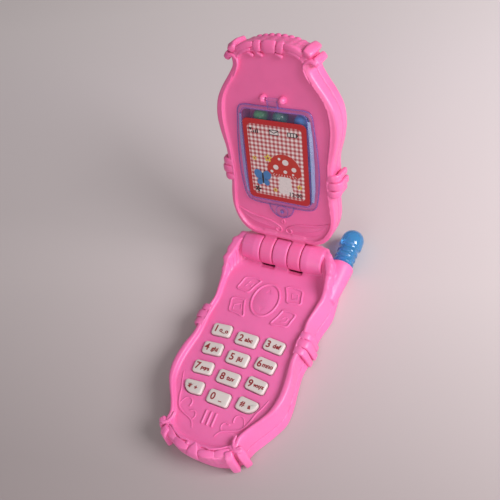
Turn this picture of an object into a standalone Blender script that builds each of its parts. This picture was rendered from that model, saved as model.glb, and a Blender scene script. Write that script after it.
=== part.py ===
"""Toy flip phone with a candy compartment in its lid, standing open.

Frame: the hinge axis runs along X at y = 0, the table is z = 0, and the keypad's foot points to -Y.
Lengths are in millimetres in this file and are scaled to metres as each mesh is made. A point of
the plan is (x, v), where v is the distance from the hinge axis towards the foot, so y = -v.
The lid is modelled closed, face down over the keypad, and an empty on the hinge axis opens it.
"""

import math

import bmesh
import bpy
from mathutils import Matrix, Vector

MM = 0.001
GAP = 0.3  # clearance between neighbouring pieces

# Hinge
AXIS_Z = 13.23
LID_OPEN_DEG = 110.83
BARREL_R = 6.4  # knuckles of the lid and the base
KNUCKLE_SEGMENTS = 24
SLOT_FRONT_V = 7.4
SLOT_BACK_Y = 5.3
SLOT_FLOOR_Z = 6.2
SLOT_SILL_Z = 9.0  # the hinge end's wall is cut down to here for the lid's arms
CENTRE_KNUCKLE = 3.35  # half-width of the base's middle knuckle
LID_KNUCKLE = (3.65, 9.35)
SIDE_KNUCKLE = (9.65, 12.5)
KNUCKLE_TAPER = (17.5, 2.8)  # where the side knuckles end, and their radius there
PIN_R = 1.2
PIN_HALF = 15.2

# Base
RIM_Z = 12.13
FACE_Z = 10.1
FACE_WALL = 1.5
PARTING_Z = 4.8
WALL = 1.6
ROOF_MARGIN = 2.2  # thickness of the side wall where it meets the face's underside
FLOOR_Z = 1.8

COLLAR_LIFT = 4.0  # how far the collar around the hinge stands above the rim
COLLAR_FRONT_V = 17.5
COLLAR_FULL_V = 8.0
COLLAR_BACK_V = -3.0
COLLAR_BACK_DROP = 0.45  # share of the lift lost per millimetre behind COLLAR_BACK_V

# Outlines of the right half, from the hinge end to the foot, as (x, v)
BASE_OUTER = [
    (0, -7.2), (8, -7.2), (13.6, -6.9), (19.0, -4.6), (22.9, 0.6), (24.7, 7.5), (24.6, 15),
    (23.5, 20.5), (22.2, 27), (24.3, 31), (26.9, 35), (26.4, 38.5), (23.6, 42.5), (23.4, 46.5),
    (24.8, 52), (25.4, 59), (24.2, 65.5), (21.4, 70.3), (18.0, 75.2), (16.0, 79.5), (17.9, 83.6),
    (15.0, 88.0), (8, 90.7), (0, 91.3),
]
BASE_TABLE = [
    (0, -8.2), (8, -8.2), (14.4, -7.8), (20.4, -5.2), (24.4, 0.4), (25.8, 7), (26.8, 14),
    (27.3, 20), (25.8, 27), (25.8, 31), (27.7, 35.4), (27.9, 39), (26.2, 43.6), (24.9, 47.6),
    (25.4, 53), (26.5, 60), (26.6, 66), (24.6, 71), (21.9, 75.8), (19.3, 80), (19.2, 84.4),
    (16.4, 88.4), (8.6, 90.7), (0, 91.3),
]
BASE_RIDGE = [
    (0, -4), (7, -4), (12.0, -4.1), (16.6, -3.0), (20.4, 1.2), (22.6, 8), (22.8, 14), (21.8, 20),
    (20.9, 27), (21.5, 31), (22.4, 35), (22.3, 38.5), (21.4, 42.5), (21.3, 46.5), (22.2, 52),
    (22.8, 59), (21.9, 65.5), (19.9, 69.9), (16.8, 74.7), (14.6, 78.7), (14.4, 82.0), (11.2, 84.5),
    (6, 86.1), (0, 86.6),
]
BASE_INNER = [
    (0, 5.5), (6, 5.5), (11.0, 6.0), (15.2, 7.2), (18.6, 9.6), (20.8, 13.0), (21.5, 16.5), (21.2, 20),
    (20.4, 27), (20.5, 31), (20.9, 35), (20.9, 38.5), (20.6, 42.5), (20.6, 46.5), (21.3, 52),
    (21.9, 59), (21.2, 65.5), (19.4, 69.8), (16.4, 74.6), (14.2, 78.4), (13.2, 81.4), (10.0, 83.4),
    (5, 84.6), (0, 85),
]
LID_OUTER = [
    (0, 7.0), (8, 7.0), (14.4, 7.4), (18.9, 9.8), (21.8, 14.2), (23.3, 20), (23.3, 26), (22.5, 30.5),
    (24.5, 33), (26.9, 36.5), (26.4, 40.2), (23.4, 44), (23.5, 48), (24.9, 54), (25.5, 60.5),
    (24.3, 67), (21.6, 72.2), (18.2, 76.9), (15.7, 81.0), (17.8, 85.0), (14.8, 88.9), (8, 90.8),
    (0, 91.2),
]
LID_REAR = [
    (0, 7.4), (8, 7.4), (14.4, 7.7), (18.8, 9.9), (21.5, 14.2), (23.0, 20), (23.0, 26), (22.9, 30),
    (24.9, 33), (26.8, 36.8), (26.0, 40.4), (23.0, 44), (23.4, 48), (24.9, 54), (25.7, 60.5),
    (24.9, 67), (22.4, 72.2), (19.2, 76.9), (16.8, 81.0), (17.2, 84.6), (14.0, 88.0), (7.8, 89.9),
    (0, 90.5),
]
LID_INNER = [
    (0, 9.2), (7.5, 9.2), (13.4, 9.7), (17.2, 11.9), (19.8, 15.6), (21.2, 20), (20.8, 26),
    (20.4, 30.5), (20.5, 33), (20.9, 36.5), (20.9, 40.2), (20.6, 44), (20.8, 48), (21.5, 54),
    (21.9, 60.5), (21.1, 67), (19.2, 71.4), (16.2, 75.8), (13.6, 80.4), (12.6, 83.6), (10.2, 85.8),
    (5, 87.0), (0, 87.3),
]

# Keypad
KEY_COLUMN = 12.09
KEY_ROW_PITCH = 8.7
KEY_FIRST_ROW = 40.98
KEY_ARCH = 0.87  # the middle column sits this much nearer the foot
KEY_FAN_DEG = 5.0
KEY_SIZE_MIDDLE = (9.5, 5.5)
KEY_SIZE_SIDE = (8.5, 5.3)
KEY_CORNER = 1.4
KEY_SCOOP = 3.8  # radius of the cut-away corner on the outer keys of the last row
KEY_FOOT_Z = 7.5  # a key travels 0.8 mm from here to the mat
KEY_TOP_Z = 11.1
KEY_FLANGE = 0.8  # the flange that keeps a key under the face reaches this far past the cap
KEY_NAMES = (
    ("key_1", "key_2", "key_3"),
    ("key_4", "key_5", "key_6"),
    ("key_7", "key_8", "key_9"),
    ("key_star", "key_0", "key_hash"),
)

# Antenna
ANTENNA_X = 23.2
ANTENNA_Z = 6.3
SOCKET = ((-14.0, 4.0), (3.8, 5.45))  # (y, radius) at its root and at its mouth
ANTENNA_ROOT_Y = 0.9
ANTENNA_NECK_R = 4.25
LED_BORE_R = 1.8

# Batteries, on their side in a row under the navigation pad
CELL_R = 5.8
CELL_HEIGHT = 5.4
CELL_PITCH = 11.95
CELL_V = 21.0
BAY_HALF = (18.2, 7.4)
BAY_CEILING = 7.4
DOOR_HALF = (19.6, 8.7)
DOOR_SCREW_V = 32.6

# Screws
CASE_SCREW_Z = (1.0, 7.6)  # head and tip
DOOR_SCREW_Z = (0.05, 5.2)
LID_SCREW_N = (8.6, 3.2)
SCREW_HEAD_H = 1.1
DOOR_SCREW_HEAD_H = 0.5
CASE_POSTS = ((18.0, 34.2), (13.6, 75.4))
LID_POSTS = ((14.5, 18.6), (12.6, 72.6))
SCREW_HEAD_R = 1.8
SCREW_SHANK_R = 0.75
POST_R = 2.3

# Speaker at the foot, facing the holes in the underside
SPEAKER_V = 80.0
SPEAKER_R = 7.6
SPEAKER_Z = (3.4, 8.0)
SOUND_HOLES = 6
SOUND_HOLE_R = 0.8
SOUND_RING_R = 3.6
RIB_V = (75.0, 79.0)  # three raised bars on the face over the speaker
RIB_TOP_Z = 10.6

# Lid, as heights above the hinge axis when the lid is shut
LID_RIM = -0.67
LID_FACE = 0.5
LID_PARTING = 4.3
LID_BACK = 9.3
TUB_HALF_X = 14.2
TUB_V = (26.4, 64.4)
TUB_FLOOR = 6.6

# Candy cover
COVER_AXIS_V = 69.5
COVER_AXIS_N = 0.5
FLANGE_LINE = [
    (0, 23.4), (7, 23.4), (12.5, 23.8), (15.4, 25.6), (16.8, 31), (17.5, 40), (17.2, 50), (16.2, 60),
    (15.5, 64.6), (13.2, 66.4), (7, 66.5), (0, 66.5),
]
BLISTER_HALF_X = 13.9
BLISTER_V = (25.9, 65.3)
CARD_HALF = (13.44, 17.4)
CARD_V = 44.0
CANDY_R = 3.15

BODY_PINK = (0.95, 0.20, 0.50)
LID_PINK = (0.95, 0.22, 0.52)


def clear_scene():
    for obj in list(bpy.data.objects):
        bpy.data.objects.remove(obj, do_unlink=True)


def new_collection(name):
    collection = bpy.data.collections.new(name)
    bpy.context.scene.collection.children.link(collection)
    return collection


def material(name, colour, roughness=0.35, metallic=0.0, alpha=1.0):
    found = bpy.data.materials.new(name)
    found.use_nodes = True
    shader = found.node_tree.nodes["Principled BSDF"]
    shader.inputs["Base Color"].default_value = (*colour, 1.0)
    shader.inputs["Roughness"].default_value = roughness
    shader.inputs["Metallic"].default_value = metallic
    shader.inputs["Alpha"].default_value = alpha
    return found


def object_from(bm, name, collection):
    """A mesh object in metres from a bmesh in millimetres."""
    bmesh.ops.recalc_face_normals(bm, faces=bm.faces[:])
    bmesh.ops.scale(bm, vec=(MM, MM, MM), verts=bm.verts[:])
    mesh = bpy.data.meshes.new(name)
    bm.to_mesh(mesh)
    bm.free()
    mesh.shade_smooth()
    mesh.set_sharp_from_angle(angle=math.radians(35))
    obj = bpy.data.objects.new(name, mesh)
    collection.objects.link(obj)
    return obj


def finish(obj, mat, parent=None):
    """Gives a part its material and hangs it on the empty of its moving body."""
    obj.data.materials.append(mat)
    if parent:
        hang(obj, parent)


def hang(obj, parent):
    """Parents an object that was modelled in the parent's own axes, about the parent's place."""
    obj.parent = parent
    obj.matrix_parent_inverse = Matrix.Translation(-parent.location)


def boolean(obj, tool, operation):
    """Joins, cuts or trims obj with a helper, which stays in the file as a wire."""
    tool.hide_render = True
    tool.display_type = "WIRE"
    modifier = obj.modifiers.new(tool.name, "BOOLEAN")
    modifier.operation = operation
    modifier.object = tool


def cut(obj, *tools):
    for tool in tools:
        boolean(obj, tool, "DIFFERENCE")


def join(obj, *tools):
    for tool in tools:
        boolean(obj, tool, "UNION")


def smooth_half(points, steps=2):
    """A Catmull-Rom curve through the half outline's points, level where it meets the centre line."""
    first, last = points[0], points[-1]
    ends = [(-points[1][0], points[1][1])] + points + [(-points[-2][0], points[-2][1])]
    ends = [Vector(p) for p in ends]
    found = []
    for a, b, c, d in zip(ends, ends[1:], ends[2:], ends[3:]):
        for i in range(steps):
            t = i / steps
            found.append(
                0.5 * (2 * b + (c - a) * t + (2 * a - 5 * b + 4 * c - d) * t * t
                       + (3 * b - a - 3 * c + d) * t ** 3)
            )
    found.append(Vector(last))
    found[0] = Vector(first)
    return found


def whole(half):
    """The closed outline: the right half, then its mirror image back to the start."""
    return half + [Vector((-p.x, p.y)) for p in reversed(half[1:-1])]


def case_line(outer, inner, offset):
    """The outer line moved outwards by offset, away from the inner line."""
    return [o + (o - i).normalized() * offset for o, i in zip(outer, inner)]


def between(a, b, t):
    return [p.lerp(q, t) for p, q in zip(a, b)]


def loft(name, rings, collection):
    """A closed skin over rings of (height, outline), with its first and last rings capped.

    A height is a number, or a function of the plan point."""
    bm = bmesh.new()
    layers = []
    for height, outline in rings:
        levels = [height(p) if callable(height) else height for p in outline]
        layers.append([bm.verts.new((p.x, -p.y, z)) for p, z in zip(outline, levels)])
    count = len(layers[0])
    for low, high in zip(layers, layers[1:]):
        for i in range(count):
            k = (i + 1) % count
            bm.faces.new((low[i], low[k], high[k], high[i]))
    bm.faces.new(layers[0][::-1])
    bm.faces.new(layers[-1])
    return object_from(bm, name, collection)


def prism(name, outline, z0, z1, collection):
    return loft(name, [(z0, outline), (z1, outline)], collection)


def rounded_rectangle(half_x, half_v, radii, centre=(0, 0), steps=2, turn_deg=0.0):
    """Corner radii: one number, or one for each corner from (+x, +v) round to (+x, -v)."""
    found = []
    turn = Matrix.Rotation(math.radians(turn_deg), 2)
    if not isinstance(radii, (tuple, list)):
        radii = [radii] * 4
    for k, (sx, sv) in enumerate(((1, 1), (-1, 1), (-1, -1), (1, -1))):
        radius = radii[k]
        for i in range(steps + 1):
            angle = math.pi / 2 * (k + i / steps)
            corner = Vector((sx * (half_x - radius), sv * (half_v - radius)))
            arc = Vector((math.cos(angle), math.sin(angle))) * radius
            found.append(turn @ (corner + arc) + Vector(centre))
    return found


def rectangle(x0, x1, v0, v1):
    return [Vector(p) for p in ((x0, v0), (x1, v0), (x1, v1), (x0, v1))]


def rod(name, r0, r1, start, end, collection, segments=20):
    """A cylinder or cone between two points given in world millimetres."""
    start, end = Vector(start), Vector(end)
    way = end - start
    bm = bmesh.new()
    bmesh.ops.create_cone(
        bm, cap_ends=True, segments=segments, radius1=r0, radius2=r1, depth=way.length
    )
    turn = way.to_track_quat("Z", "Y").to_matrix().to_4x4()
    bmesh.ops.transform(
        bm, matrix=Matrix.Translation((start + end) / 2) @ turn, verts=bm.verts[:]
    )
    return object_from(bm, name, collection)


def post(name, r, x, v, z0, z1, collection, segments=10):
    return rod(name, r, r, (x, -v, z0), (x, -v, z1), collection, segments)


def turned(name, profile, centre, collection, segments=18, axis=(0, 0, 1)):
    """A turned solid: profile is (radius, height) from the foot up, on the axis at both ends."""
    bm = bmesh.new()
    verts = [bm.verts.new((r, 0, h)) for r, h in profile]
    for a, b in zip(verts, verts[1:]):
        bm.edges.new((a, b))
    bmesh.ops.spin(
        bm, geom=bm.verts[:] + bm.edges[:], cent=(0, 0, 0), axis=(0, 0, 1),
        angle=2 * math.pi, steps=segments, use_duplicate=False,
    )
    bmesh.ops.remove_doubles(bm, verts=bm.verts[:], dist=1e-4)
    turn = Vector(axis).to_track_quat("Z", "Y").to_matrix().to_4x4()
    bmesh.ops.transform(
        bm, matrix=Matrix.Translation(Vector(centre)) @ turn, verts=bm.verts[:]
    )
    return object_from(bm, name, collection)


def ball(name, r, centre, collection, segments=10):
    bm = bmesh.new()
    bmesh.ops.create_uvsphere(bm, u_segments=segments, v_segments=segments // 2 + 1, radius=r)
    bmesh.ops.translate(bm, vec=centre, verts=bm.verts[:])
    return object_from(bm, name, collection)


def knuckle(name, x0, x1, radius, collection, segments=KNUCKLE_SEGMENTS):
    return rod(name, radius, radius, (x0, 0, AXIS_Z), (x1, 0, AXIS_Z), collection, segments)


def key_place(row, column):
    """Centre and turn of a key. The rows arch, and the side columns fan outwards."""
    side = column - 1
    v = KEY_FIRST_ROW + row * KEY_ROW_PITCH + (KEY_ARCH if side == 0 else 0.0)
    return side * KEY_COLUMN, v, side * KEY_FAN_DEG


def key_outline(row, column, grow=0.0):
    x, v, turn = key_place(row, column)
    width, depth = KEY_SIZE_MIDDLE if column == 1 else KEY_SIZE_SIDE
    radii = [KEY_CORNER] * 4
    if row == 3 and column != 1:
        radii[0 if column == 2 else 1] = KEY_SCOOP
    return rounded_rectangle(width / 2 + grow, depth / 2 + grow, radii, (x, v), 2, turn)


def antenna_rod(name, r0, r1, y0, y1, collection, segments=20):
    return rod(name, r0, r1, (ANTENNA_X, y0, ANTENNA_Z), (ANTENNA_X, y1, ANTENNA_Z), collection, segments)


def base_lines():
    """The base's inner and ridge lines, its rim, and its side wall's line at a height."""
    outer, table, ridge, inner = (
        whole(smooth_half(points)) for points in (BASE_OUTER, BASE_TABLE, BASE_RIDGE, BASE_INNER)
    )

    def side(height, offset=0.0):
        wall = between(outer, table, (RIM_Z - height) / RIM_Z)
        return case_line(wall, ridge, offset)

    return outer, ridge, inner, side


def collar_lift(v):
    """Height of the rim's top above its usual level: it rises to a collar around the hinge."""
    front = (COLLAR_FRONT_V - v) / (COLLAR_FRONT_V - COLLAR_FULL_V)
    front = min(1.0, max(0.0, front))
    back = max(0.0, COLLAR_BACK_V - v) * COLLAR_BACK_DROP
    return COLLAR_LIFT * front * front * (3 - 2 * front) - back


def rim_height(drop=0.0):
    return lambda p: RIM_Z + collar_lift(p.y) - drop


def cove_height(p):
    return FACE_Z + 0.35 * (RIM_Z + collar_lift(min(p.y, COLLAR_FULL_V)) - FACE_Z)


def lid_lines():
    outer, rear, inner = (whole(smooth_half(points)) for points in (LID_OUTER, LID_REAR, LID_INNER))
    return outer, rear, inner


def antenna_socket(name, helpers):
    (y0, r0), (y1, r1) = SOCKET
    return antenna_rod(name, r0, r1, y0, y1, helpers)


def hinge_slot(name, side, helpers):
    """Room for one lid knuckle and its arm, open above and to the hinge end."""
    x0 = side * (CENTRE_KNUCKLE - 0.05)
    x1 = side * (SIDE_KNUCKLE[0] + 0.05)
    profile = [
        (-SLOT_FRONT_V, SLOT_FLOOR_Z), (-SLOT_FRONT_V, 24), (14, 24), (14, SLOT_SILL_Z),
        (SLOT_BACK_Y, SLOT_SILL_Z), (SLOT_BACK_Y, SLOT_FLOOR_Z),
    ]
    bm = bmesh.new()
    ends = [[bm.verts.new((x, y, z)) for y, z in profile] for x in (x0, x1)]
    count = len(profile)
    for i in range(count):
        k = (i + 1) % count
        bm.faces.new((ends[0][i], ends[0][k], ends[1][k], ends[1][i]))
    bm.faces.new(ends[0][::-1])
    bm.faces.new(ends[1])
    return object_from(bm, name, helpers)


def side_knuckle(name, side, helpers):
    """The base's outer knuckle, tapering into the collar."""
    x0, x1 = SIDE_KNUCKLE
    taper_x, taper_r = KNUCKLE_TAPER
    profile = [(0, 0), (BARREL_R, 0), (BARREL_R, x1 - x0), (taper_r, taper_x - x0), (0, taper_x - x0)]
    return turned(name, profile, (side * x0, 0, AXIS_Z), helpers, KNUCKLE_SEGMENTS, (side, 0, 0))


def base_front_shell(parts, helpers, mat):
    """Keypad housing: face, rim, hinge collar, side walls, knuckles and the socket's upper half."""
    outer, ridge, inner, side_line = base_lines()
    under = FACE_Z - FACE_WALL
    low = PARTING_Z + GAP / 2
    shell = loft("base_front_shell", [
        (FACE_Z, inner),
        (cove_height, between(inner, ridge, 0.55)),
        (rim_height(0.3), ridge),
        (rim_height(), between(ridge, outer, 0.3)),
        (rim_height(), between(ridge, outer, 0.8)),
        (rim_height(0.6), outer),
        (low, side_line(low)),
        (low, side_line(low, -WALL)),
        (under, side_line(under, -ROOF_MARGIN)),
    ], parts)
    cut(shell, hinge_slot("slot_right", 1, helpers), hinge_slot("slot_left", -1, helpers))
    join(
        shell,
        knuckle("centre_knuckle", -CENTRE_KNUCKLE, CENTRE_KNUCKLE, BARREL_R, helpers),
        side_knuckle("side_knuckle_right", 1, helpers),
        side_knuckle("side_knuckle_left", -1, helpers),
        antenna_socket("socket_for_front", helpers),
    )
    for i, (x, v) in enumerate(mirrored(CASE_POSTS)):
        join(shell, post(f"front_post_{i}", POST_R, x, v, low - 0.1, under + 0.5, helpers))
    for x in (-2, 0, 2):
        bar = rounded_rectangle(0.4, (RIB_V[1] - RIB_V[0]) / 2, 0.39, (x, sum(RIB_V) / 2), 1)
        join(shell, prism(f"face_rib_{x}", bar, FACE_Z - 0.4, RIB_TOP_Z, helpers))
    bore = ANTENNA_NECK_R + GAP
    cut(
        shell,
        knuckle("pin_bore", -PIN_HALF - GAP, PIN_HALF + GAP, PIN_R + GAP, helpers, 12),
        antenna_rod("antenna_bore_front", bore, bore, ANTENNA_ROOT_Y - GAP, 9, helpers),
        antenna_rod("led_bore_front", LED_BORE_R, LED_BORE_R, -4, 2, helpers, 12),
        prism("below_front", rectangle(-40, 40, -40, 100), -5, low, helpers),
    )
    for i, (x, v) in enumerate(mirrored(CASE_POSTS)):
        cut(shell, post(f"front_pilot_{i}", SCREW_SHANK_R + GAP, x, v, 0, 8.6, helpers, 8))
    for row in range(4):
        for column in range(3):
            hole = prism(
                f"keyhole_{row}{column}", key_outline(row, column, GAP), under - 1, RIM_Z, helpers
            )
            cut(shell, hole)
    finish(shell, mat)
    return shell


def mirrored(places):
    return [(side * x, v) for x, v in places for side in (1, -1)]


def base_back_shell(parts, helpers, mat):
    """Underside: a tray with the battery bay, screw bosses and the socket's lower half."""
    _, _, _, side_line = base_lines()
    high = PARTING_Z - GAP / 2
    shell = loft("base_back_shell", [
        (0, side_line(0, -1.2)),
        (0.5, side_line(0, -0.3)),
        (1.6, side_line(1.6)),
        (high, side_line(high)),
        (high, side_line(high, -WALL)),
        (FLOOR_Z, side_line(FLOOR_Z, -WALL - 0.4)),
    ], parts)
    join(shell, antenna_socket("socket_for_back", helpers))
    bore = ANTENNA_NECK_R + GAP
    cut(
        shell,
        prism("above_back", rectangle(-40, 40, -40, 100), high, 20, helpers),
        antenna_rod("antenna_bore_back", bore, bore, ANTENNA_ROOT_Y - GAP, 9, helpers),
        antenna_rod("led_bore_back", LED_BORE_R, LED_BORE_R, -4, 2, helpers, 12),
    )
    bay = rounded_rectangle(BAY_HALF[0] + 1.0, BAY_HALF[1] + 1.0, 1.0, (0, CELL_V), 2)
    join(shell, prism("bay_walls", bay, 1.4, BAY_CEILING + 0.9, helpers))
    join(shell, post("door_boss", 2.4, 0, DOOR_SCREW_V, 1.2, 6.4, helpers))
    for i, (x, v) in enumerate(mirrored(CASE_POSTS)):
        join(shell, post(f"boss_{i}", POST_R + 0.5, x, v, 0.9, high, helpers))
    cut(
        shell,
        prism("bay_room", rounded_rectangle(*BAY_HALF, 0.6, (0, CELL_V), 2), -1, BAY_CEILING, helpers),
        prism("door_seat", door_outline(GAP), -1, 1.4, helpers),
        post("door_pilot", SCREW_SHANK_R + GAP, 0, DOOR_SCREW_V, -1, 5.6, helpers, 10),
    )
    for i, (x, v) in enumerate(mirrored(CASE_POSTS)):
        cut(
            shell,
            post(f"counterbore_{i}", SCREW_HEAD_R + 0.4, x, v, -1, 2.4, helpers),
            post(f"back_pilot_{i}", SCREW_SHANK_R + GAP, x, v, -1, 9, helpers, 10),
        )
    for i in range(SOUND_HOLES):
        angle = 2 * math.pi * i / SOUND_HOLES
        x, v = SOUND_RING_R * math.cos(angle), SPEAKER_V + SOUND_RING_R * math.sin(angle)
        cut(shell, post(f"sound_hole_{i}", SOUND_HOLE_R, x, v, -1, FLOOR_Z + 1, helpers, 8))
    finish(shell, mat)
    return shell


def door_outline(grow):
    """The battery door with its screw tab towards the foot."""
    half_x, half_v = DOOR_HALF[0] + grow, DOOR_HALF[1] + grow
    front, tab = CELL_V + half_v, 3.2 + grow
    points = [
        (-half_x, CELL_V - half_v), (half_x, CELL_V - half_v), (half_x, front), (tab, front),
        (tab, DOOR_SCREW_V + 1.2), (1.6, DOOR_SCREW_V + 2.9 + grow),
        (-1.6, DOOR_SCREW_V + 2.9 + grow), (-tab, DOOR_SCREW_V + 1.2), (-tab, front),
        (-half_x, front),
    ]
    return [Vector(p) for p in points]


def battery_parts(parts, helpers, mats):
    door = prism("battery_door", door_outline(0), 0.1, 1.1, parts)
    cut(
        door,
        post("door_screw_hole", SCREW_SHANK_R + GAP, 0, DOOR_SCREW_V, -1, 2, helpers, 10),
        post("door_screw_seat", SCREW_HEAD_R + GAP, 0, DOOR_SCREW_V, -1, 0.6, helpers),
    )
    finish(door, mats["pink_body"])
    screw("battery_door_screw", 0, DOOR_SCREW_V, *DOOR_SCREW_Z, DOOR_SCREW_HEAD_H, parts, mats["steel"])
    for i in range(3):
        x = (i - 1) * CELL_PITCH
        low = 1.55
        profile = [
            (0, 0), (4.6, 0), (4.8, 0.3), (CELL_R - 0.1, 0.5), (CELL_R - 0.1, CELL_HEIGHT - 0.2),
            (CELL_R - 0.3, CELL_HEIGHT), (0, CELL_HEIGHT),
        ]
        cell = turned(f"button_cell_{i + 1}", profile, (x, -CELL_V, low), parts, 16)
        finish(cell, mats["steel"])
    plate_z = (BAY_CEILING - 0.25, BAY_CEILING - 0.05)
    for name, side in (("battery_contact_positive", 1), ("battery_contact_negative", -1)):
        plate = rounded_rectangle(4.2, 3.4, 0.8, (side * CELL_PITCH, CELL_V), 2)
        contact = prism(name, plate, *plate_z, parts)
        finish(contact, mats["brass"])


def screw(name, x, v, head_z, tip_z, head_height, parts, mat, parent=None):
    """A self-tapping screw driven from head_z towards tip_z, with a crossed recess."""
    way = 1 if tip_z > head_z else -1
    length = abs(tip_z - head_z)
    profile = [
        (0, 0), (SCREW_HEAD_R - 0.3, 0), (SCREW_HEAD_R, 0.3), (SCREW_HEAD_R, head_height),
        (SCREW_SHANK_R, head_height + 0.05), (SCREW_SHANK_R, length - 0.9), (0, length),
    ]
    obj = turned(name, profile, (x, -v, head_z), parts, 10, (0, 0, way))
    finish(obj, mat, parent)
    return obj


def base_screws(parts, mats):
    for i, (x, v) in enumerate(mirrored(CASE_POSTS)):
        screw(f"case_screw_{i + 1}", x, v, *CASE_SCREW_Z, SCREW_HEAD_H, parts, mats["steel"])


def electronics(parts, helpers, mats):
    """Rubber keypad mat over the circuit board, the potted chip, the speaker, LED and wires."""
    mat_sheet = prism(
        "keypad_mat", rounded_rectangle(17.4, 17.2, 1.5, (0, 54.4), 2), 5.2, 5.9, parts
    )
    for row in range(4):
        for column in range(3):
            x, v, _ = key_place(row, column)
            join(mat_sheet, rod(f"pip_{row}{column}", 2.2, 1.7, (x, -v, 5.6), (x, -v, 6.4), helpers, 6))
    finish(mat_sheet, mats["rubber"])

    board = prism("circuit_board", rounded_rectangle(16.6, 16.9, 1.0, (0, 54.4), 2), 3.7, 4.9, parts)
    finish(board, mats["board"])
    blob = [(0, 0), (1.6, 0.1), (3.0, 0.5), (3.7, 1.0), (3.9, 1.3), (0, 1.3)]
    finish(turned("sound_chip", blob, (-4, -50, 2.2), parts, 16), mats["epoxy"])

    profile = [
        (0, 0), (4.2, 0), (4.2, 1.2), (SPEAKER_R - 1.6, 1.6), (SPEAKER_R, 3.2), (SPEAKER_R, 4.6),
        (SPEAKER_R - 0.8, 4.6), (SPEAKER_R - 1.2, 4.2), (4.4, 3.4), (2.6, 3.9), (0, 4.2),
    ]
    speaker = turned("speaker", profile, (0, -SPEAKER_V, SPEAKER_Z[1]), parts, 16, (0, 0, -1))
    finish(speaker, mats["speaker"])
    for name, x, tint in (("speaker_wire_red", 1.2, "wire_red"), ("speaker_wire_black", -1.2, "wire_black")):
        path = ((x, -66.0, 3.2), (x * 1.2, -68.5, 2.6), (x * 1.6, -72.0, 2.5), (x * 2.0, -75.0, 2.9))
        wire(name, path, 0.35, parts, mats[tint])

    led = [
        (0, 0), (1.5, 0), (1.5, 3.0), (1.3, 3.9), (0.75, 4.4), (0, 4.6),
    ]
    lamp = turned("antenna_led", led, (ANTENNA_X, -2.6, ANTENNA_Z), parts, 12, (0, 1, 0))
    finish(lamp, mats["led"])


def wire(name, path, radius, parts, mat):
    """An insulated wire along a poly curve, made a mesh."""
    curve = bpy.data.curves.new(name, "CURVE")
    curve.dimensions = "3D"
    curve.bevel_depth = radius * MM
    curve.bevel_resolution = 1
    curve.use_fill_caps = True
    spline = curve.splines.new("POLY")
    spline.points.add(len(path) - 1)
    for point, place in zip(spline.points, path):
        point.co = (*(MM * c for c in place), 1)
    guide = bpy.data.objects.new(name + "_guide", curve)
    bpy.context.scene.collection.objects.link(guide)
    graph = bpy.context.evaluated_depsgraph_get()
    mesh = bpy.data.meshes.new_from_object(guide.evaluated_get(graph))
    bm = bmesh.new()
    bm.from_mesh(mesh)
    bmesh.ops.remove_doubles(bm, verts=bm.verts[:], dist=1e-6)
    bmesh.ops.recalc_face_normals(bm, faces=bm.faces[:])
    bm.to_mesh(mesh)
    bm.free()
    bpy.data.objects.remove(guide, do_unlink=True)
    obj = bpy.data.objects.new(name, mesh)
    parts.objects.link(obj)
    finish(obj, mat)


def keys(parts, mats):
    """Twelve keys, each with its origin at its centre and a flange under the face."""
    under = FACE_Z - FACE_WALL
    for row, names in enumerate(KEY_NAMES):
        for column, name in enumerate(names):
            x, v, _ = key_place(row, column)
            cap = [p - Vector((x, v)) for p in key_outline(row, column)]
            crown = [p * 0.86 for p in cap]
            flange = [p - Vector((x, v)) for p in key_outline(row, column, KEY_FLANGE)]
            key = loft(name, [
                (KEY_FOOT_Z, flange), (under - GAP, flange), (under - GAP, cap),
                (KEY_TOP_Z - 0.45, cap), (KEY_TOP_Z, crown),
            ], parts)
            key.location = (x * MM, -v * MM, 0)
            finish(key, mats["key"])


def antenna_tip(parts, helpers, mat):
    """Translucent tip: a ribbed neck, and a domed end."""
    neck = ANTENNA_NECK_R
    profile = [(0, 0), (neck, 0), (neck, 3.6)]
    for i in range(3):
        rib = 4.0 + i * 2.6
        profile += [(neck + 0.25, rib), (neck + 0.25, rib + 1.2), (neck - 0.2, rib + 1.6)]
    profile += [
        (neck - 0.1, 12.2), (4.95, 12.9), (4.95, 16.4), (4.5, 18.3), (3.5, 19.8), (1.9, 20.8), (0, 21.1),
    ]
    tip = turned("antenna_tip", profile, (ANTENNA_X, ANTENNA_ROOT_Y, ANTENNA_Z), parts, 18, (0, 1, 0))
    cut(tip, antenna_rod("led_room", 2.2, 2.2, ANTENNA_ROOT_Y - 1, 6.5, helpers, 12))
    finish(tip, mat)


def hinge_pin(parts, mat):
    pin = knuckle("hinge_pin", -PIN_HALF, PIN_HALF, PIN_R, parts, 16)
    finish(pin, mat)


def over_axis(height):
    """World height, with the lid shut, of something this far above the hinge axis."""
    return AXIS_Z + height


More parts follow.
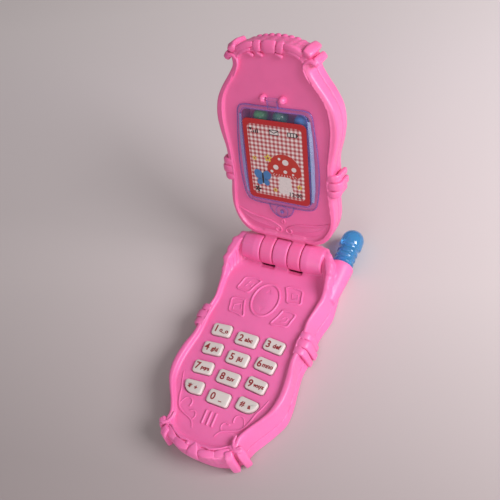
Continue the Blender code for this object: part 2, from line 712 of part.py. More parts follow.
def lid_front_shell(parts, helpers, mat, lid):
    """Lid's inner half: face and rim, knuckles, the candy tub and the cover's pivot ears."""
    outer, rear, inner = lid_lines()
    top = over_axis(LID_PARTING - GAP / 2)
    under = over_axis(LID_FACE + 1.4)
    shell = loft("lid_front_shell", [
        (over_axis(LID_FACE), inner),
        (over_axis(LID_RIM + 0.3), between(inner, outer, 0.1)),
        (over_axis(LID_RIM), between(inner, outer, 0.3)),
        (over_axis(LID_RIM), between(inner, outer, 0.85)),
        (over_axis(LID_RIM + 0.6), outer),
        (top, between(outer, rear, 0.7)),
        (top, case_line(between(outer, rear, 0.7), inner, -WALL)),
        (under, case_line(outer, inner, -ROOF_MARGIN)),
    ], parts)
    tools = []
    for side, tag in ((1, "right"), (-1, "left")):
        x0, x1 = sorted(side * x for x in LID_KNUCKLE)
        drum = knuckle(f"lid_knuckle_{tag}", x0, x1, BARREL_R, helpers)
        arm = prism(
            f"lid_arm_{tag}", rectangle(x0, x1, 0, 10), over_axis(0.2), over_axis(4.1), helpers
        )
        ear_v, ear_z = COVER_AXIS_V, over_axis(-COVER_AXIS_N)
        ear = ball(f"ear_{tag}", 1.4, (side * 4.0, -ear_v, ear_z), helpers, 14)
        foot = post(f"ear_foot_{tag}", 1.2, side * 4.0, ear_v, ear_z, over_axis(1.0), helpers, 10)
        tools += [drum, arm, foot, ear]
    tub = rounded_rectangle(
        TUB_HALF_X + 1.0, (TUB_V[1] - TUB_V[0]) / 2 + 1.0, 3.0, (0, sum(TUB_V) / 2)
    )
    tools.append(prism("tub_walls", tub, over_axis(1.2), over_axis(TUB_FLOOR + 0.9), helpers))
    for i, (x, v) in enumerate(mirrored(LID_POSTS)):
        tools.append(post(f"lid_post_{i}", POST_R, x, v, under - 0.6, over_axis(6.0), helpers))
    join(shell, *tools)
    room = rounded_rectangle(TUB_HALF_X, (TUB_V[1] - TUB_V[0]) / 2, 2.2, (0, sum(TUB_V) / 2))
    cutters = [
        prism("tub_room", room, over_axis(-2), over_axis(TUB_FLOOR), helpers),
        knuckle("lid_pin_bore", -11, 11, PIN_R + GAP, helpers, 16),
        rod(
            "cover_bore", 0.8, 0.8, (-4.9, -COVER_AXIS_V, over_axis(-COVER_AXIS_N)),
            (4.9, -COVER_AXIS_V, over_axis(-COVER_AXIS_N)), helpers, 12,
        ),
    ]
    for i, (x, v) in enumerate(mirrored(LID_POSTS)):
        cutters.append(
            post(f"lid_pilot_{i}", SCREW_SHANK_R + GAP, x, v, over_axis(2.6), over_axis(9), helpers, 10)
        )
    cut(shell, *cutters)
    finish(shell, mat, lid)
    for tool in tools + cutters:
        hang(tool, lid)


def lid_back_shell(parts, helpers, mat, lid):
    """Lid's outer half, crowned, with counterbored screw bosses."""
    outer, rear, inner = lid_lines()
    seam = between(outer, rear, 0.7)
    low = over_axis(LID_PARTING + GAP / 2)
    back = over_axis(LID_BACK)
    shell = loft("lid_back_shell", [
        (over_axis(LID_BACK - 1.3), case_line(rear, inner, -2.6)),
        (low, case_line(seam, inner, -WALL)),
        (low, seam),
        (over_axis(7.4), rear),
        (over_axis(8.7), case_line(rear, inner, -0.4)),
        (back, case_line(rear, inner, -1.6)),
    ], parts)
    tools = []
    cutters = []
    for i, (x, v) in enumerate(mirrored(LID_POSTS)):
        tools.append(post(f"lid_boss_{i}", POST_R + 0.4, x, v, over_axis(6.3), back - 0.4, helpers))
        cutters.append(post(f"lid_well_{i}", SCREW_HEAD_R + 0.4, x, v, over_axis(7.4), back + 2, helpers))
        cutters.append(post(f"lid_hole_{i}", SCREW_SHANK_R + GAP, x, v, over_axis(5), back + 1, helpers, 10))
    join(shell, *tools)
    cut(shell, *cutters)
    finish(shell, mat, lid)
    for tool in tools + cutters:
        hang(tool, lid)


def lid_screws(parts, mats, lid):
    for i, (x, v) in enumerate(mirrored(LID_POSTS)):
        head, tip = (over_axis(n) for n in LID_SCREW_N)
        screw(f"lid_screw_{i + 1}", x, v, head, tip, SCREW_HEAD_H, parts, mats["steel"], lid)


def candies(parts, mats, lid):
    """Round candies lying loose in the tub, three to a row."""
    tints = ("candy_green", "candy_mint", "candy_blue", "candy_orange", "candy_yellow", "candy_pink")
    z = over_axis(TUB_FLOOR - 0.1 - CANDY_R)
    places = [
        (-7.6, 60.6), (0.8, 60.9), (9.8, 60.4), (-10.0, 52.4), (-2.2, 52.6), (6.4, 51.6),
        (-6.0, 36.8), (3.4, 37.6), (10.4, 42.2),
    ]
    for i, (x, v) in enumerate(places):
        candy = ball(f"candy_{i + 1}", CANDY_R, (x, -v, z), parts, 10)
        finish(candy, mats[tints[i % len(tints)]], lid)


def candy_cover(parts, helpers, mats, cover):
    """Clear cover: flange, raised blister with a hollow back, thumb tab and pivot tongue."""
    flange_line = whole(smooth_half(FLANGE_LINE, 2))
    low, high = over_axis(-0.25), over_axis(0.3)
    top = over_axis(-0.95)
    shell = prism("candy_cover", flange_line, low, high, parts)
    middle = sum(BLISTER_V) / 2
    half_v = (BLISTER_V[1] - BLISTER_V[0]) / 2
    box = rounded_rectangle(BLISTER_HALF_X, half_v, 2.4, (0, middle))
    room = rounded_rectangle(BLISTER_HALF_X - 0.8, half_v - 0.8, 1.7, (0, middle))
    tab = [Vector((5.5 * math.cos(a), 23.6 - 5.6 * math.sin(a))) for a in
           (math.pi * i / 10 for i in range(11))]
    tab += [Vector((-5.5, 24.6)), Vector((5.5, 24.6))]
    pivot_z = over_axis(-COVER_AXIS_N)
    tools = [
        prism("blister", box, top, high - 0.1, helpers),
        prism("thumb_tab", tab, low - 0.1, high - 0.05, helpers),
        prism("tongue", rectangle(-2.1, 2.1, 65.6, COVER_AXIS_V), pivot_z - 0.45, pivot_z + 0.6, helpers),
        rod("tongue_eye", 0.72, 0.72, (-2.1, -COVER_AXIS_V, pivot_z), (2.1, -COVER_AXIS_V, pivot_z),
            helpers, 12),
        rod("pivot_stub", 0.5, 0.5, (-4.6, -COVER_AXIS_V, pivot_z), (4.6, -COVER_AXIS_V, pivot_z),
            helpers, 10),
    ]
    join(shell, *tools)
    cutters = [
        prism("blister_room", room, top + 0.7, high + 1, helpers),
        ball("thumb_dimple", 2.2, (0, -20.9, low - 1.95), helpers, 16),
    ]
    cut(shell, *cutters)
    finish(shell, mats["clear_violet"], cover)
    for tool in tools + cutters:
        hang(tool, cover)
    card = prism(
        "picture_card", rounded_rectangle(*CARD_HALF, 2.2, (0, CARD_V)), top - 0.3, top - 0.05, parts
    )
    finish(card, mats["card"], cover)


def body_empty(name, parts, location, turn_x_deg=0.0, parent=None):
    empty = bpy.data.objects.new(name, None)
    empty.empty_display_size = 0.01
    parts.objects.link(empty)
    if parent:
        hang(empty, parent)
    empty.location = [MM * c for c in location]
    empty.rotation_euler.x = math.radians(turn_x_deg)
    return empty


def all_materials():
    return {
        "pink_body": material("pink_body", BODY_PINK, 0.3),
        "pink_lid": material("pink_lid", LID_PINK, 0.3),
        "key": material("key_white", (0.86, 0.84, 0.80), 0.35),
        "rubber": material("mat_rubber", (0.75, 0.75, 0.72), 0.8),
        "board": material("board_green", (0.05, 0.25, 0.10), 0.5),
        "epoxy": material("chip_epoxy", (0.02, 0.02, 0.02), 0.3),
        "speaker": material("speaker_black", (0.05, 0.05, 0.06), 0.5),
        "steel": material("steel", (0.62, 0.62, 0.64), 0.3, 1.0),
        "brass": material("brass", (0.80, 0.60, 0.25), 0.3, 1.0),
        "wire_red": material("wire_red", (0.70, 0.05, 0.05), 0.45),
        "wire_black": material("wire_black", (0.03, 0.03, 0.03), 0.45),
        "led": material("led_clear", (0.90, 0.90, 0.95), 0.1, alpha=0.6),
        "antenna": material("antenna_blue", (0.05, 0.30, 0.85), 0.1, alpha=0.7),
        "clear_violet": material("clear_violet", (0.35, 0.30, 0.75), 0.08, alpha=0.4),
        "card": material("card_print", (0.75, 0.10, 0.12), 0.5),
        "candy_green": material("candy_green", (0.15, 0.60, 0.20), 0.3),
        "candy_mint": material("candy_mint", (0.10, 0.45, 0.35), 0.3),
        "candy_blue": material("candy_blue", (0.10, 0.35, 0.80), 0.3),
        "candy_orange": material("candy_orange", (0.90, 0.40, 0.08), 0.3),
        "candy_yellow": material("candy_yellow", (0.90, 0.75, 0.10), 0.3),
        "candy_pink": material("candy_pink", (0.90, 0.25, 0.45), 0.3),
    }


def build():
    clear_scene()
    parts = new_collection("toy_flip_phone")
    helpers = new_collection("cutters")
    mats = all_materials()
    lid = body_empty("lid_hinge_empty", parts, (0, 0, AXIS_Z), -LID_OPEN_DEG)
    cover_place = (0, -COVER_AXIS_V, over_axis(-COVER_AXIS_N))
    cover = body_empty("cover_hinge_empty", parts, cover_place, 0, lid)

    base_front_shell(parts, helpers, mats["pink_body"])
    base_back_shell(parts, helpers, mats["pink_body"])
    battery_parts(parts, helpers, mats)
    base_screws(parts, mats)
    electronics(parts, helpers, mats)
    keys(parts, mats)
    antenna_tip(parts, helpers, mats["antenna"])
    hinge_pin(parts, mats["steel"])

    lid_front_shell(parts, helpers, mats["pink_lid"], lid)
    lid_back_shell(parts, helpers, mats["pink_lid"], lid)
    lid_screws(parts, mats, lid)
    candies(parts, mats, lid)
    candy_cover(parts, helpers, mats, cover)


build()
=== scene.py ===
"""Looks of the open toy flip phone: moulded pink shells with ribbon ornament, printed keys, clear
candy cover with a gingham card, candies, blue antenna, a pale floor and soft studio light.

Lengths are millimetres, scaled to metres as each mesh is made. Two local frames are used: on the
base a point is (x, v, z) with v from the hinge axis towards the foot, and on the lid it is
(x, v, n) with v up the open lid from the hinge axis and n out of its inner face.
"""

import math
import random

import bmesh
import bpy
from mathutils import Matrix, Vector


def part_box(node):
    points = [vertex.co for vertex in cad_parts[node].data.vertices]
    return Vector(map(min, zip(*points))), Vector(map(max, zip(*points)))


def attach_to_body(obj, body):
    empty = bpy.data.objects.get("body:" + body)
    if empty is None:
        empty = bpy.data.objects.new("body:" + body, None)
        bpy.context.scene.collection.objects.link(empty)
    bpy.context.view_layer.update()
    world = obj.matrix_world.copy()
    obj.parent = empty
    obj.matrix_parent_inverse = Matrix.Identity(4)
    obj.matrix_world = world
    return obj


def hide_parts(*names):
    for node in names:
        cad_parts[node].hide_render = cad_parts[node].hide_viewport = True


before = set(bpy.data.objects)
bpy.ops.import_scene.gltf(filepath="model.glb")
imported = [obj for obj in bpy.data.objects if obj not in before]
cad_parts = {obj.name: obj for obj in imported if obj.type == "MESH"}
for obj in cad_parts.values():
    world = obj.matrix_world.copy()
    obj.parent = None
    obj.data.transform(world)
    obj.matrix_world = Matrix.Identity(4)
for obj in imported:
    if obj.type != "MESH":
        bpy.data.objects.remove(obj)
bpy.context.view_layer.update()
MM = 0.001
VOXEL = 0.34
STEPS = 6

# ------------------------------------------------------------------ the two local frames
AXIS_Z = 13.23
LID_OPEN = math.radians(110.83)
LID_V = Vector((0, -math.cos(LID_OPEN), math.sin(LID_OPEN)))
LID_N = Vector((0, -math.sin(LID_OPEN), -math.cos(LID_OPEN)))


def on_base(p):
    return Vector((p[0], -p[1], p[2]))


def on_lid(p):
    return Vector((p[0], 0, AXIS_Z)) + LID_V * p[1] + LID_N * p[2]


# ------------------------------------------------------------------ sizes
RIM_Z, FACE_Z, SEAM_Z = 12.13, 10.1, 4.8
LID_RIM_N, LID_FACE_N, LID_SEAM_N = 0.67, -0.5, -4.3
BASE_TOP, LID_TOP, LID_LOW = 12.4, 0.84, -8.3  # reach of the ribbon ornament
SEAM_GAP = 0.04
POINT_R = 0.02  # smallest ring of a turned solid
KNUCKLE_R, PIN_ROOM_R = 6.4, 1.5
ANTENNA_X, ANTENNA_Z = 23.2, 6.3
COVER_PIVOT = (69.5, 0.5)  # (v, n) of the cover's own hinge
ANTENNA_BORE = ((0.6, 4.55), (9.0, 4.55))  # (y, radius)
WINDOW_V = 45.4
BATTERY = (0, 21)  # middle of the battery bay
DOOR_SCREW = (0, 32.6)
CASE_SCREWS = ((18.0, 34.2), (-18.0, 34.2), (13.6, 75.4), (-13.6, 75.4))
LID_SCREWS = ((14.5, 18.6), (-14.5, 18.6), (12.6, 72.6), (-12.6, 72.6))

# ------------------------------------------------------------------ outlines, right halves, (x, v)
BASE_OUTER = [
    (0, -7.2), (8, -7.2), (13.6, -6.9), (19, -4.6), (22.9, 0.6), (24.7, 7.5), (24.6, 15),
    (23.5, 20.5), (22.2, 27), (22.6, 31), (23.4, 35), (23.6, 38.5), (23.1, 42.5), (23.4, 46.5),
    (24.8, 52), (25.4, 59), (24.2, 65.5), (21.4, 70.3), (18, 75.2), (16, 79.5), (15.9, 83.6),
    (13.4, 87.4), (7.6, 90.2), (0, 90.7),
]
BASE_TABLE = [
    (0, -8.2), (8, -8.2), (14.4, -7.8), (20.4, -5.2), (24.4, 0.4), (25.8, 7), (26.8, 14),
    (27.3, 20), (25.8, 27), (25.4, 31), (25.9, 35.4), (25.8, 39), (25, 43.6), (24.9, 47.6),
    (25.6, 53), (26.7, 60), (26.8, 66), (24.8, 71), (22.1, 75.8), (19.5, 80), (17.9, 84),
    (15, 87.8), (8.2, 90.4), (0, 91),
]
BASE_RIDGE = [
    (0, -4), (7, -4), (12, -4.1), (16, -3.1), (19, 0.9), (21.8, 8), (22.5, 14), (21.8, 20),
    (20.9, 27), (21.1, 31), (21.5, 35), (21.5, 38.5), (21.2, 42.5), (21.3, 46.5), (22.2, 52),
    (22.8, 59), (21.9, 65.5), (19.9, 69.9), (16.8, 74.7), (14.6, 78.7), (14, 82), (11, 84.5),
    (6, 86.1), (0, 86.6),
]
BASE_INNER = [
    (0, 5.5), (6, 5.5), (11, 6), (15.2, 7.2), (18.6, 9.6), (20.8, 13), (21.5, 16.5), (21.2, 20),
    (20.2, 27), (20.3, 31), (20.6, 35), (20.6, 38.5), (20.4, 42.5), (20.5, 46.5), (21.2, 52),
    (21.8, 59), (21.1, 65.5), (19.3, 69.8), (16.3, 74.6), (14.1, 78.4), (13, 81.4), (10, 83.4),
    (5, 84.6), (0, 85),
]
LID_OUTER = [
    (0, 7), (8, 7), (14.4, 7.4), (18.9, 9.8), (21.8, 14.2), (23.3, 20), (23.3, 26), (22.7, 30.5),
    (22.6, 33), (22.8, 36.5), (22.9, 40.2), (23, 44), (23.5, 48), (24.9, 54), (25.5, 60.5),
    (24.3, 67), (21.6, 72.2), (18.2, 76.9), (15.7, 81), (15.6, 85), (13.4, 88.2), (7.6, 90.2),
    (0, 90.7),
]
LID_REAR = [
    (0, 7.4), (8, 7.4), (14.4, 7.7), (18.8, 9.9), (21.5, 14.2), (23, 20), (23, 26), (22.7, 30),
    (22.9, 33), (23.3, 36.8), (23.2, 40.4), (23, 44), (23.4, 48), (24.9, 54), (25.7, 60.5),
    (24.9, 67), (22.4, 72.2), (19.2, 76.9), (16.8, 81), (16.2, 84.8), (13.4, 87.9), (7.6, 89.8),
    (0, 90.4),
]
LID_INNER = [
    (0, 9.2), (7.5, 9.2), (13.4, 9.7), (17.2, 11.9), (19.8, 15.6), (21.2, 20), (20.8, 26),
    (20.4, 30.5), (20.3, 33), (20.4, 36.5), (20.4, 40.2), (20.4, 44), (20.8, 48), (21.5, 54),
    (21.9, 60.5), (21.1, 67), (19.2, 71.4), (16.2, 75.8), (13.6, 80.4), (12.6, 83.6), (10.2, 85.6),
    (5, 86.6), (0, 86.9),
]
FLANGE_LINE = [
    (0, 23.4), (7, 23.4), (12.5, 23.8), (15.4, 25.6), (16.8, 31), (17.5, 40), (17.2, 50),
    (16.2, 60), (15.5, 64.6), (13.2, 66.4), (7, 66.5), (0, 66.5),
]


def spline(points, steps):
    """A Catmull-Rom curve; the first and last points only steer it."""
    points = [Vector(p) for p in points]
    found = []
    for a, b, c, d in zip(points, points[1:], points[2:], points[3:]):
        for i in range(steps):
            t = i / steps
            found.append(0.5 * (2 * b + (c - a) * t + (2 * a - 5 * b + 4 * c - d) * t * t
                                + (3 * b - a - 3 * c + d) * t ** 3))
    return found


def outline(points):
    """A closed outline from its right half, level where it crosses the centre line."""
    (x0, v0), (x1, v1) = points[1], points[-2]
    half = spline([(-x0, v0)] + points + [(-x1, v1)], STEPS) + [Vector(points[-1])]
    return half + [Vector((-p.x, p.y)) for p in reversed(half[1:-1])]


def curve_through(points, steps=5):
    found = spline([points[0]] + list(points) + [points[-1]], steps)
    return [(p.x, p.y) for p in found] + [tuple(points[-1])]


def mirrored(path, side):
    return [(side * x, v) for x, v in path]


def between(a, b, t):
    return [p.lerp(q, t) for p, q in zip(a, b)]


def away(outer, inner, offset):
    """Moves each point of outer by offset, straight away from its partner in inner."""
    return [o + (o - i).normalized() * offset for o, i in zip(outer, inner)]


def shift(ring, inner, amounts):
    return [o + (o - i).normalized() * a for o, i, a in zip(ring, inner, amounts)]


def pleats(ring, pitch, weights):
    """A wave along a ring, with a weight for each point."""
    total, found = 0.0, []
    for last, p, weight in zip([ring[0]] + ring, ring, weights):
        total += (p - last).length
        found.append(weight * math.sin(2 * math.pi * total / pitch))
    return found


def smoothstep(a, b, t):
    t = min(1.0, max(0.0, (t - a) / (b - a)))
    return t * t * (3 - 2 * t)


def swelling(path, ends, middle):
    """A radius for each point: ends at both ends, more by middle half way."""
    last = len(path) - 1
    return [ends + middle * math.sin(math.pi * i / last) for i in range(last + 1)]


def turns(count, start=0.0):
    """(cos, sin) of evenly spaced angles."""
    angles = [2 * math.pi * (k + start) / count for k in range(count)]
    return [(math.cos(a), math.sin(a)) for a in angles]


def arc(cx, cv, rx, rv, a0, a1, count=14):
    angles = [math.radians(a0 + (a1 - a0) * i / count) for i in range(count + 1)]
    return [(cx + rx * math.cos(a), cv + rv * math.sin(a)) for a in angles]


def circle(r, segments):
    return [(r * c, r * s) for c, s in turns(segments)]


def disc(r, centre, segments=32):
    return [Vector((centre[0] + a, centre[1] + b)) for a, b in circle(r, segments)]


def oval(cx, cv, rx, rv, count=24, turn=0.0):
    c, s = math.cos(math.radians(turn)), math.sin(math.radians(turn))
    spots = [(rx * a, rv * b) for a, b in turns(count)]
    return [(cx + x * c - v * s, cv + x * s + v * c) for x, v in spots]


def rounded(half_x, half_v, radii, centre=(0, 0), steps=4, turn_deg=0.0):
    """A rectangle with rounded corners, from the +x +v corner round."""
    if not isinstance(radii, (list, tuple)):
        radii = [radii] * 4
    turn = Matrix.Rotation(math.radians(turn_deg), 2)
    found = []
    for k, (sx, sv) in enumerate(((1, 1), (-1, 1), (-1, -1), (1, -1))):
        r = radii[k]
        corner = Vector((sx * (half_x - r), sv * (half_v - r)))
        for i in range(steps + 1):
            a = math.pi / 2 * (k + i / steps)
            spot = corner + Vector((math.cos(a), math.sin(a))) * r
            found.append(turn @ spot + Vector(centre))
    return found


# ------------------------------------------------------------------ solids
class Kit:
    """Closed solids in one local frame, gathered into one mesh in metres.

    In a loop over sides(), bars, straps and balls are mirrored for the second side.
    """

    def __init__(self, place):
        self.bm = bmesh.new()
        self.place = place
        self.side = 1

    def sides(self):
        for self.side in (1, -1):
            yield self.side
        self.side = 1

    def at(self, p):
        return Vector((self.side * p[0], p[1], p[2]))

    def ring(self, layer):
        return [self.bm.verts.new(self.place(p) * MM) for p in layer]

    def close(self, pairs, caps=()):
        """Quads between the two rings of each pair, and the caps."""
        faces = []
        for low, high in pairs:
            for i in range(len(low)):
                k = (i + 1) % len(low)
                faces.append(self.bm.faces.new((low[i], low[k], high[k], high[i])))
        faces += [self.bm.faces.new(cap) for cap in caps]
        bmesh.ops.recalc_face_normals(self.bm, faces=faces)

    def skin(self, layers):
        rows = [self.ring(layer) for layer in layers]
        self.close(zip(rows, rows[1:]), (rows[0][::-1], rows[-1]))

    def loft(self, rings):
        """Rings of (height, outline), a height being a number or one number for each point."""
        layers = []
        for height, ring in rings:
            levels = [height] * len(ring) if isinstance(height, (int, float)) else height
            layers.append([(x, v, h) for (x, v), h in zip(map(Vector, ring), levels)])
        self.skin(layers)

    def prism(self, ring, h0, h1):
        self.loft([(h0, ring), (h1, ring)])

    def tube(self, path, radius, segments=10):
        """A round bar with round ends. The radius may differ at each point."""
        points = [self.at(p) for p in path]
        radii = list(radius) if isinstance(radius, (list, tuple)) else [radius] * len(points)
        angles = [math.radians(deg) for deg in (75, 50, 25)]
        layers = []
        side = None
        last = len(points) - 1
        for i, (p, r) in enumerate(zip(points, radii)):
            way = (points[min(i + 1, last)] - points[max(i - 1, 0)]).normalized()
            side = (way.orthogonal() if side is None else side - way * side.dot(way)).normalized()
            up = way.cross(side)

            def section(centre, size):
                return [centre + (side * c + up * s) * size for c, s in turns(segments)]

            if i == 0:
                layers += [section(p - way * r * math.sin(a), r * math.cos(a)) for a in angles]
            layers.append(section(p, r))
            if i == last:
                layers += [section(p + way * r * math.sin(a), r * math.cos(a))
                           for a in angles[::-1]]
        self.skin(layers)

    def strap(self, path, widths, half_thick, side, segments=20):
        """A flattened bar with soft edges and round ends; side is the way its width runs."""
        points = [self.at(p) for p in path]
        last = len(points) - 1
        if not isinstance(widths, (list, tuple)):
            widths = [widths] * len(points)
        angles = [math.radians(deg) for deg in (80, 58, 36, 16)]
        soft, blunt = 0.55, 0.6
        layers = []
        for i, p in enumerate(points):
            way = (points[min(i + 1, last)] - points[max(i - 1, 0)]).normalized()
            across = self.at(side)
            across = (across - way * across.dot(way)).normalized()
            thick = way.cross(across)

            def section(centre, by):
                half = widths[i] - half_thick * (1 - by)
                return [
                    centre + across * math.copysign(abs(c) ** soft, c) * half
                    + thick * math.copysign(abs(s) ** soft, s) * half_thick * by
                    for c, s in turns(segments, 0.5)
                ]

            if i == 0:
                layers += [section(p - way * half_thick * math.sin(a) * blunt, math.cos(a))
                           for a in angles]
            layers.append(section(p, 1.0))
            if i == last:
                layers += [section(p + way * half_thick * math.sin(a) * blunt, math.cos(a))
                           for a in angles[::-1]]
        self.skin(layers)

    def loop(self, path, radius, segments=10):
        """A closed round bead around an outline that lies across the local height."""
        points = [Vector(p) for p in path]
        high = Vector((0, 0, 1))
        rows = []
        for i, p in enumerate(points):
            across = (points[(i + 1) % len(points)] - points[i - 1]).cross(high).normalized()
            rows.append(self.ring(p + (across * c + high * s) * radius for c, s in turns(segments)))
        self.close(zip(rows, rows[1:] + rows[:1]))

    def ball(self, centre, radii, turn_deg=0.0):
        rx, rv, rh = radii
        centre = self.at(centre)
        turn = Matrix.Rotation(math.radians(turn_deg), 3, "Z")
        layers = []
        for a in (math.pi * k / 8 for k in range(1, 8)):
            level = -rh * math.cos(a)
            layers.append([
                centre + turn @ Vector((rx * math.sin(a) * c, rv * math.sin(a) * s, level))
                for c, s in turns(14)
            ])
        self.skin(layers)

    def across(self, profile, x0, x1):
        """A bar across the width; its profile holds the other two coordinates."""
        self.skin([[self.at((x, a, b)) for a, b in profile] for x in (x0, x1)])

    def rod(self, r, x0, x1, centre=(0, AXIS_Z), segments=20):
        self.across([(centre[0] + a, centre[1] + b) for a, b in circle(r, segments)], x0, x1)

    def spun(self, profile, segments=40):
        """A solid of (y, radius) turned about the antenna's axis."""
        self.skin([
            [Vector((ANTENNA_X + a, y, ANTENNA_Z + b)) for a, b in circle(r, segments)]
            for y, r in profile
        ])

    def mesh(self, name):
        found = bpy.data.meshes.new(name)
        self.bm.to_mesh(found)
        return found

    def object(self, name="solid"):
        return linked(name, self.mesh(name))


def lofted(place, rings):
    kit = Kit(place)
    kit.loft(rings)
    return kit


def prisms(place, *solids):
    kit = Kit(place)
    for ring, h0, h1 in solids:
        kit.prism(ring, h0, h1)
    return kit


def sheet(place, h0, h1, v0=-20):
    """A wide plate between two heights, for cutting a shell at its seam."""
    return prisms(place, (((-45, v0), (45, v0), (45, 130), (-45, 130)), h0, h1))


def linked(name, data):
    obj = bpy.data.objects.new(name, data)
    bpy.context.scene.collection.objects.link(obj)
    return obj


def evaluated(obj):
    bpy.context.view_layer.update()
    graph = bpy.context.evaluated_depsgraph_get()
    return bpy.data.meshes.new_from_object(obj.evaluated_get(graph), depsgraph=graph)


def apply_all(obj):
    mesh = evaluated(obj)
    old = obj.data
    obj.modifiers.clear()
    obj.data = mesh
    bpy.data.meshes.remove(old)


def carve(obj, kit, operation="DIFFERENCE", solver="MANIFOLD"):
    cutter = kit.object()
    modifier = obj.modifiers.new("carve", "BOOLEAN")
    modifier.operation = operation
    modifier.solver = solver
    modifier.object = cutter
    apply_all(obj)
    bpy.data.objects.remove(cutter)


def join(obj, kit):
    bm = bmesh.new()
    bm.from_mesh(obj.data)
    bm.from_mesh(kit.mesh("joined"))
    bm.to_mesh(obj.data)
    bm.free()


def moulded(obj, kit, keep=0.4):
    """Melts the solids of obj and kit into one skin with soft moulded fillets."""
    join(obj, kit)
    remesh = obj.modifiers.new("melt", "REMESH")
    remesh.mode = "VOXEL"
    remesh.voxel_size = VOXEL * MM
    soft = obj.modifiers.new("soft", "SMOOTH")
    soft.factor = 0.5
    soft.iterations = 4
    obj.modifiers.new("thin", "DECIMATE").ratio = keep
    apply_all(obj)
    obj.data.shade_smooth()


def attach(obj, body, nodes):
    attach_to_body(obj, body)
    if nodes:
        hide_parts(*nodes)


def finish(obj, name, look, body, *nodes, slot=None, sharp=None):
    """Smooths, names and colours a piece, and puts it on its body in place of the CAD nodes."""
    obj.name = name
    obj.data.shade_smooth()
    if sharp:
        obj.data.set_sharp_from_angle(angle=math.radians(sharp))
    obj.data.materials.clear()
    obj.data.materials.append(MATS[look])
    attach(obj, body, nodes)


def merged(layers, name, body, node):
    """One object of several (mesh, look) layers, each with its own material."""
    bm = bmesh.new()
    looks = []
    for mesh, look in layers:
        if look not in looks:
            looks.append(look)
        start = len(bm.faces)
        bm.from_mesh(mesh)
        bm.faces.ensure_lookup_table()
        for face in bm.faces[start:]:
            face.material_index = looks.index(look)
        bpy.data.meshes.remove(mesh)
    mesh = bpy.data.meshes.new(name)
    bm.to_mesh(mesh)
    bm.free()
    for look in looks:
        mesh.materials.append(MATS[look])
    attach(linked(name, mesh), body, (node,))


# ------------------------------------------------------------------ materials
class Look:
    """A Principled material, with short ways to make, link and set its nodes."""

    def __init__(self, name, **values):
        self.mat = bpy.data.materials.new(name)
        self.mat.use_nodes = True
        self.tree = self.mat.node_tree
        self.shader = self.tree.nodes["Principled BSDF"]
        self.set(self.shader, values)

    def set(self, node, values):
        """Values by input name or number, an underscore standing for a space."""
        for key, value in values.items():
            target = node.inputs[key.replace("_", " ") if isinstance(key, str) else key]
            if isinstance(value, bpy.types.NodeSocket):
                self.tree.links.new(value, target)
            else:
                target.default_value = value

    def skin(self, **values):
        self.set(self.shader, values)

    def node(self, kind, *numbered, operation=None, **named):
        found = self.tree.nodes.new("ShaderNode" + kind)
        if operation:
            found.operation = operation
        self.set(found, {**dict(enumerate(numbered)), **named})
        return found.outputs

    def place(self):
        return self.node("TexCoord")["Object"]

    def noise(self, scale, detail=3.0, rough=0.5, stretch=None):
        source = self.place()
        if stretch:
            source = self.node("Mapping", Vector=source, Scale=stretch)["Vector"]
        named = {"Vector": source, "Scale": scale, "Detail": detail, "Roughness": rough}
        return self.node("TexNoise", **named)["Fac"]

    def ramp(self, fac, *stops):
        """A colour ramp; a stop's colour may be one grey value."""
        found = self.tree.nodes.new("ShaderNodeValToRGB")
        elements = found.color_ramp.elements
        while len(elements) < len(stops):
            elements.new(0.5)
        for element, (place, colour) in zip(elements, stops):
            element.position = place
            element.color = (*colour, 1.0) if isinstance(colour, tuple) else (colour,) * 3 + (1.0,)
        self.tree.links.new(fac, found.inputs["Fac"])
        return found.outputs["Color"]

    def spread(self, fac, low, high):
        return self.node("MapRange", Value=fac, To_Min=low, To_Max=high)["Result"]

    def bump(self, height, strength, distance=0.0002):
        named = {"Height": height, "Strength": strength, "Distance": distance}
        self.skin(Normal=self.node("Bump", **named)["Normal"])


def scaled(colour, by):
    return tuple(min(1.0, c * by) for c in colour)


def moulded_plastic(name, colour, rough=0.40, glow=0.14, grain=900.0, coat=0.10, bump=0.12,
                    scatter=(1.0, 0.3, 0.5)):
    """Solid-dyed plastic: cloudy dye, fine orange-peel skin, faint handling marks in the gloss."""
    look = Look(name, Subsurface_Weight=glow, Subsurface_Radius=scatter, Subsurface_Scale=0.0015,
                Coat_Weight=coat, Coat_Roughness=0.2)
    marks = look.noise(240.0, 6.0, 0.7, (1.0, 0.35, 1.0))
    look.skin(
        Base_Color=look.ramp(look.noise(70.0, 4.0, 0.55), (0.25, scaled(colour, 0.93)),
                             (0.5, colour), (0.8, scaled(colour, 1.05))),
        Roughness=look.spread(marks, rough - 0.09, rough + 0.12),
    )
    look.bump(look.noise(grain), bump)
    return look.mat


def clear_plastic(name, colour, tint, density, rough=0.06, haze=0.0):
    """Tinted see-through plastic: the dye shows where light goes through more of it."""
    look = Look(name, IOR=1.45, Coat_Weight=0.6, Coat_Roughness=0.04)
    swirl = look.noise(160.0)
    look.skin(
        Base_Color=look.ramp(swirl, (0.3, scaled(colour, 0.85)), (0.7, colour)),
        Roughness=look.spread(look.noise(420.0, 5.0, 0.7), rough, rough + 0.06),
        Transmission_Weight=look.spread(swirl, 1.0 - haze * 1.2, 1.0 - haze * 0.8),
    )
    look.bump(look.noise(300.0, 2.0), 0.06)
    volume = look.node("VolumeAbsorption", Color=(*tint, 1.0), Density=density)["Volume"]
    output = next(n for n in look.tree.nodes if n.type == "OUTPUT_MATERIAL")
    look.set(output, {"Volume": volume})
    return look.mat


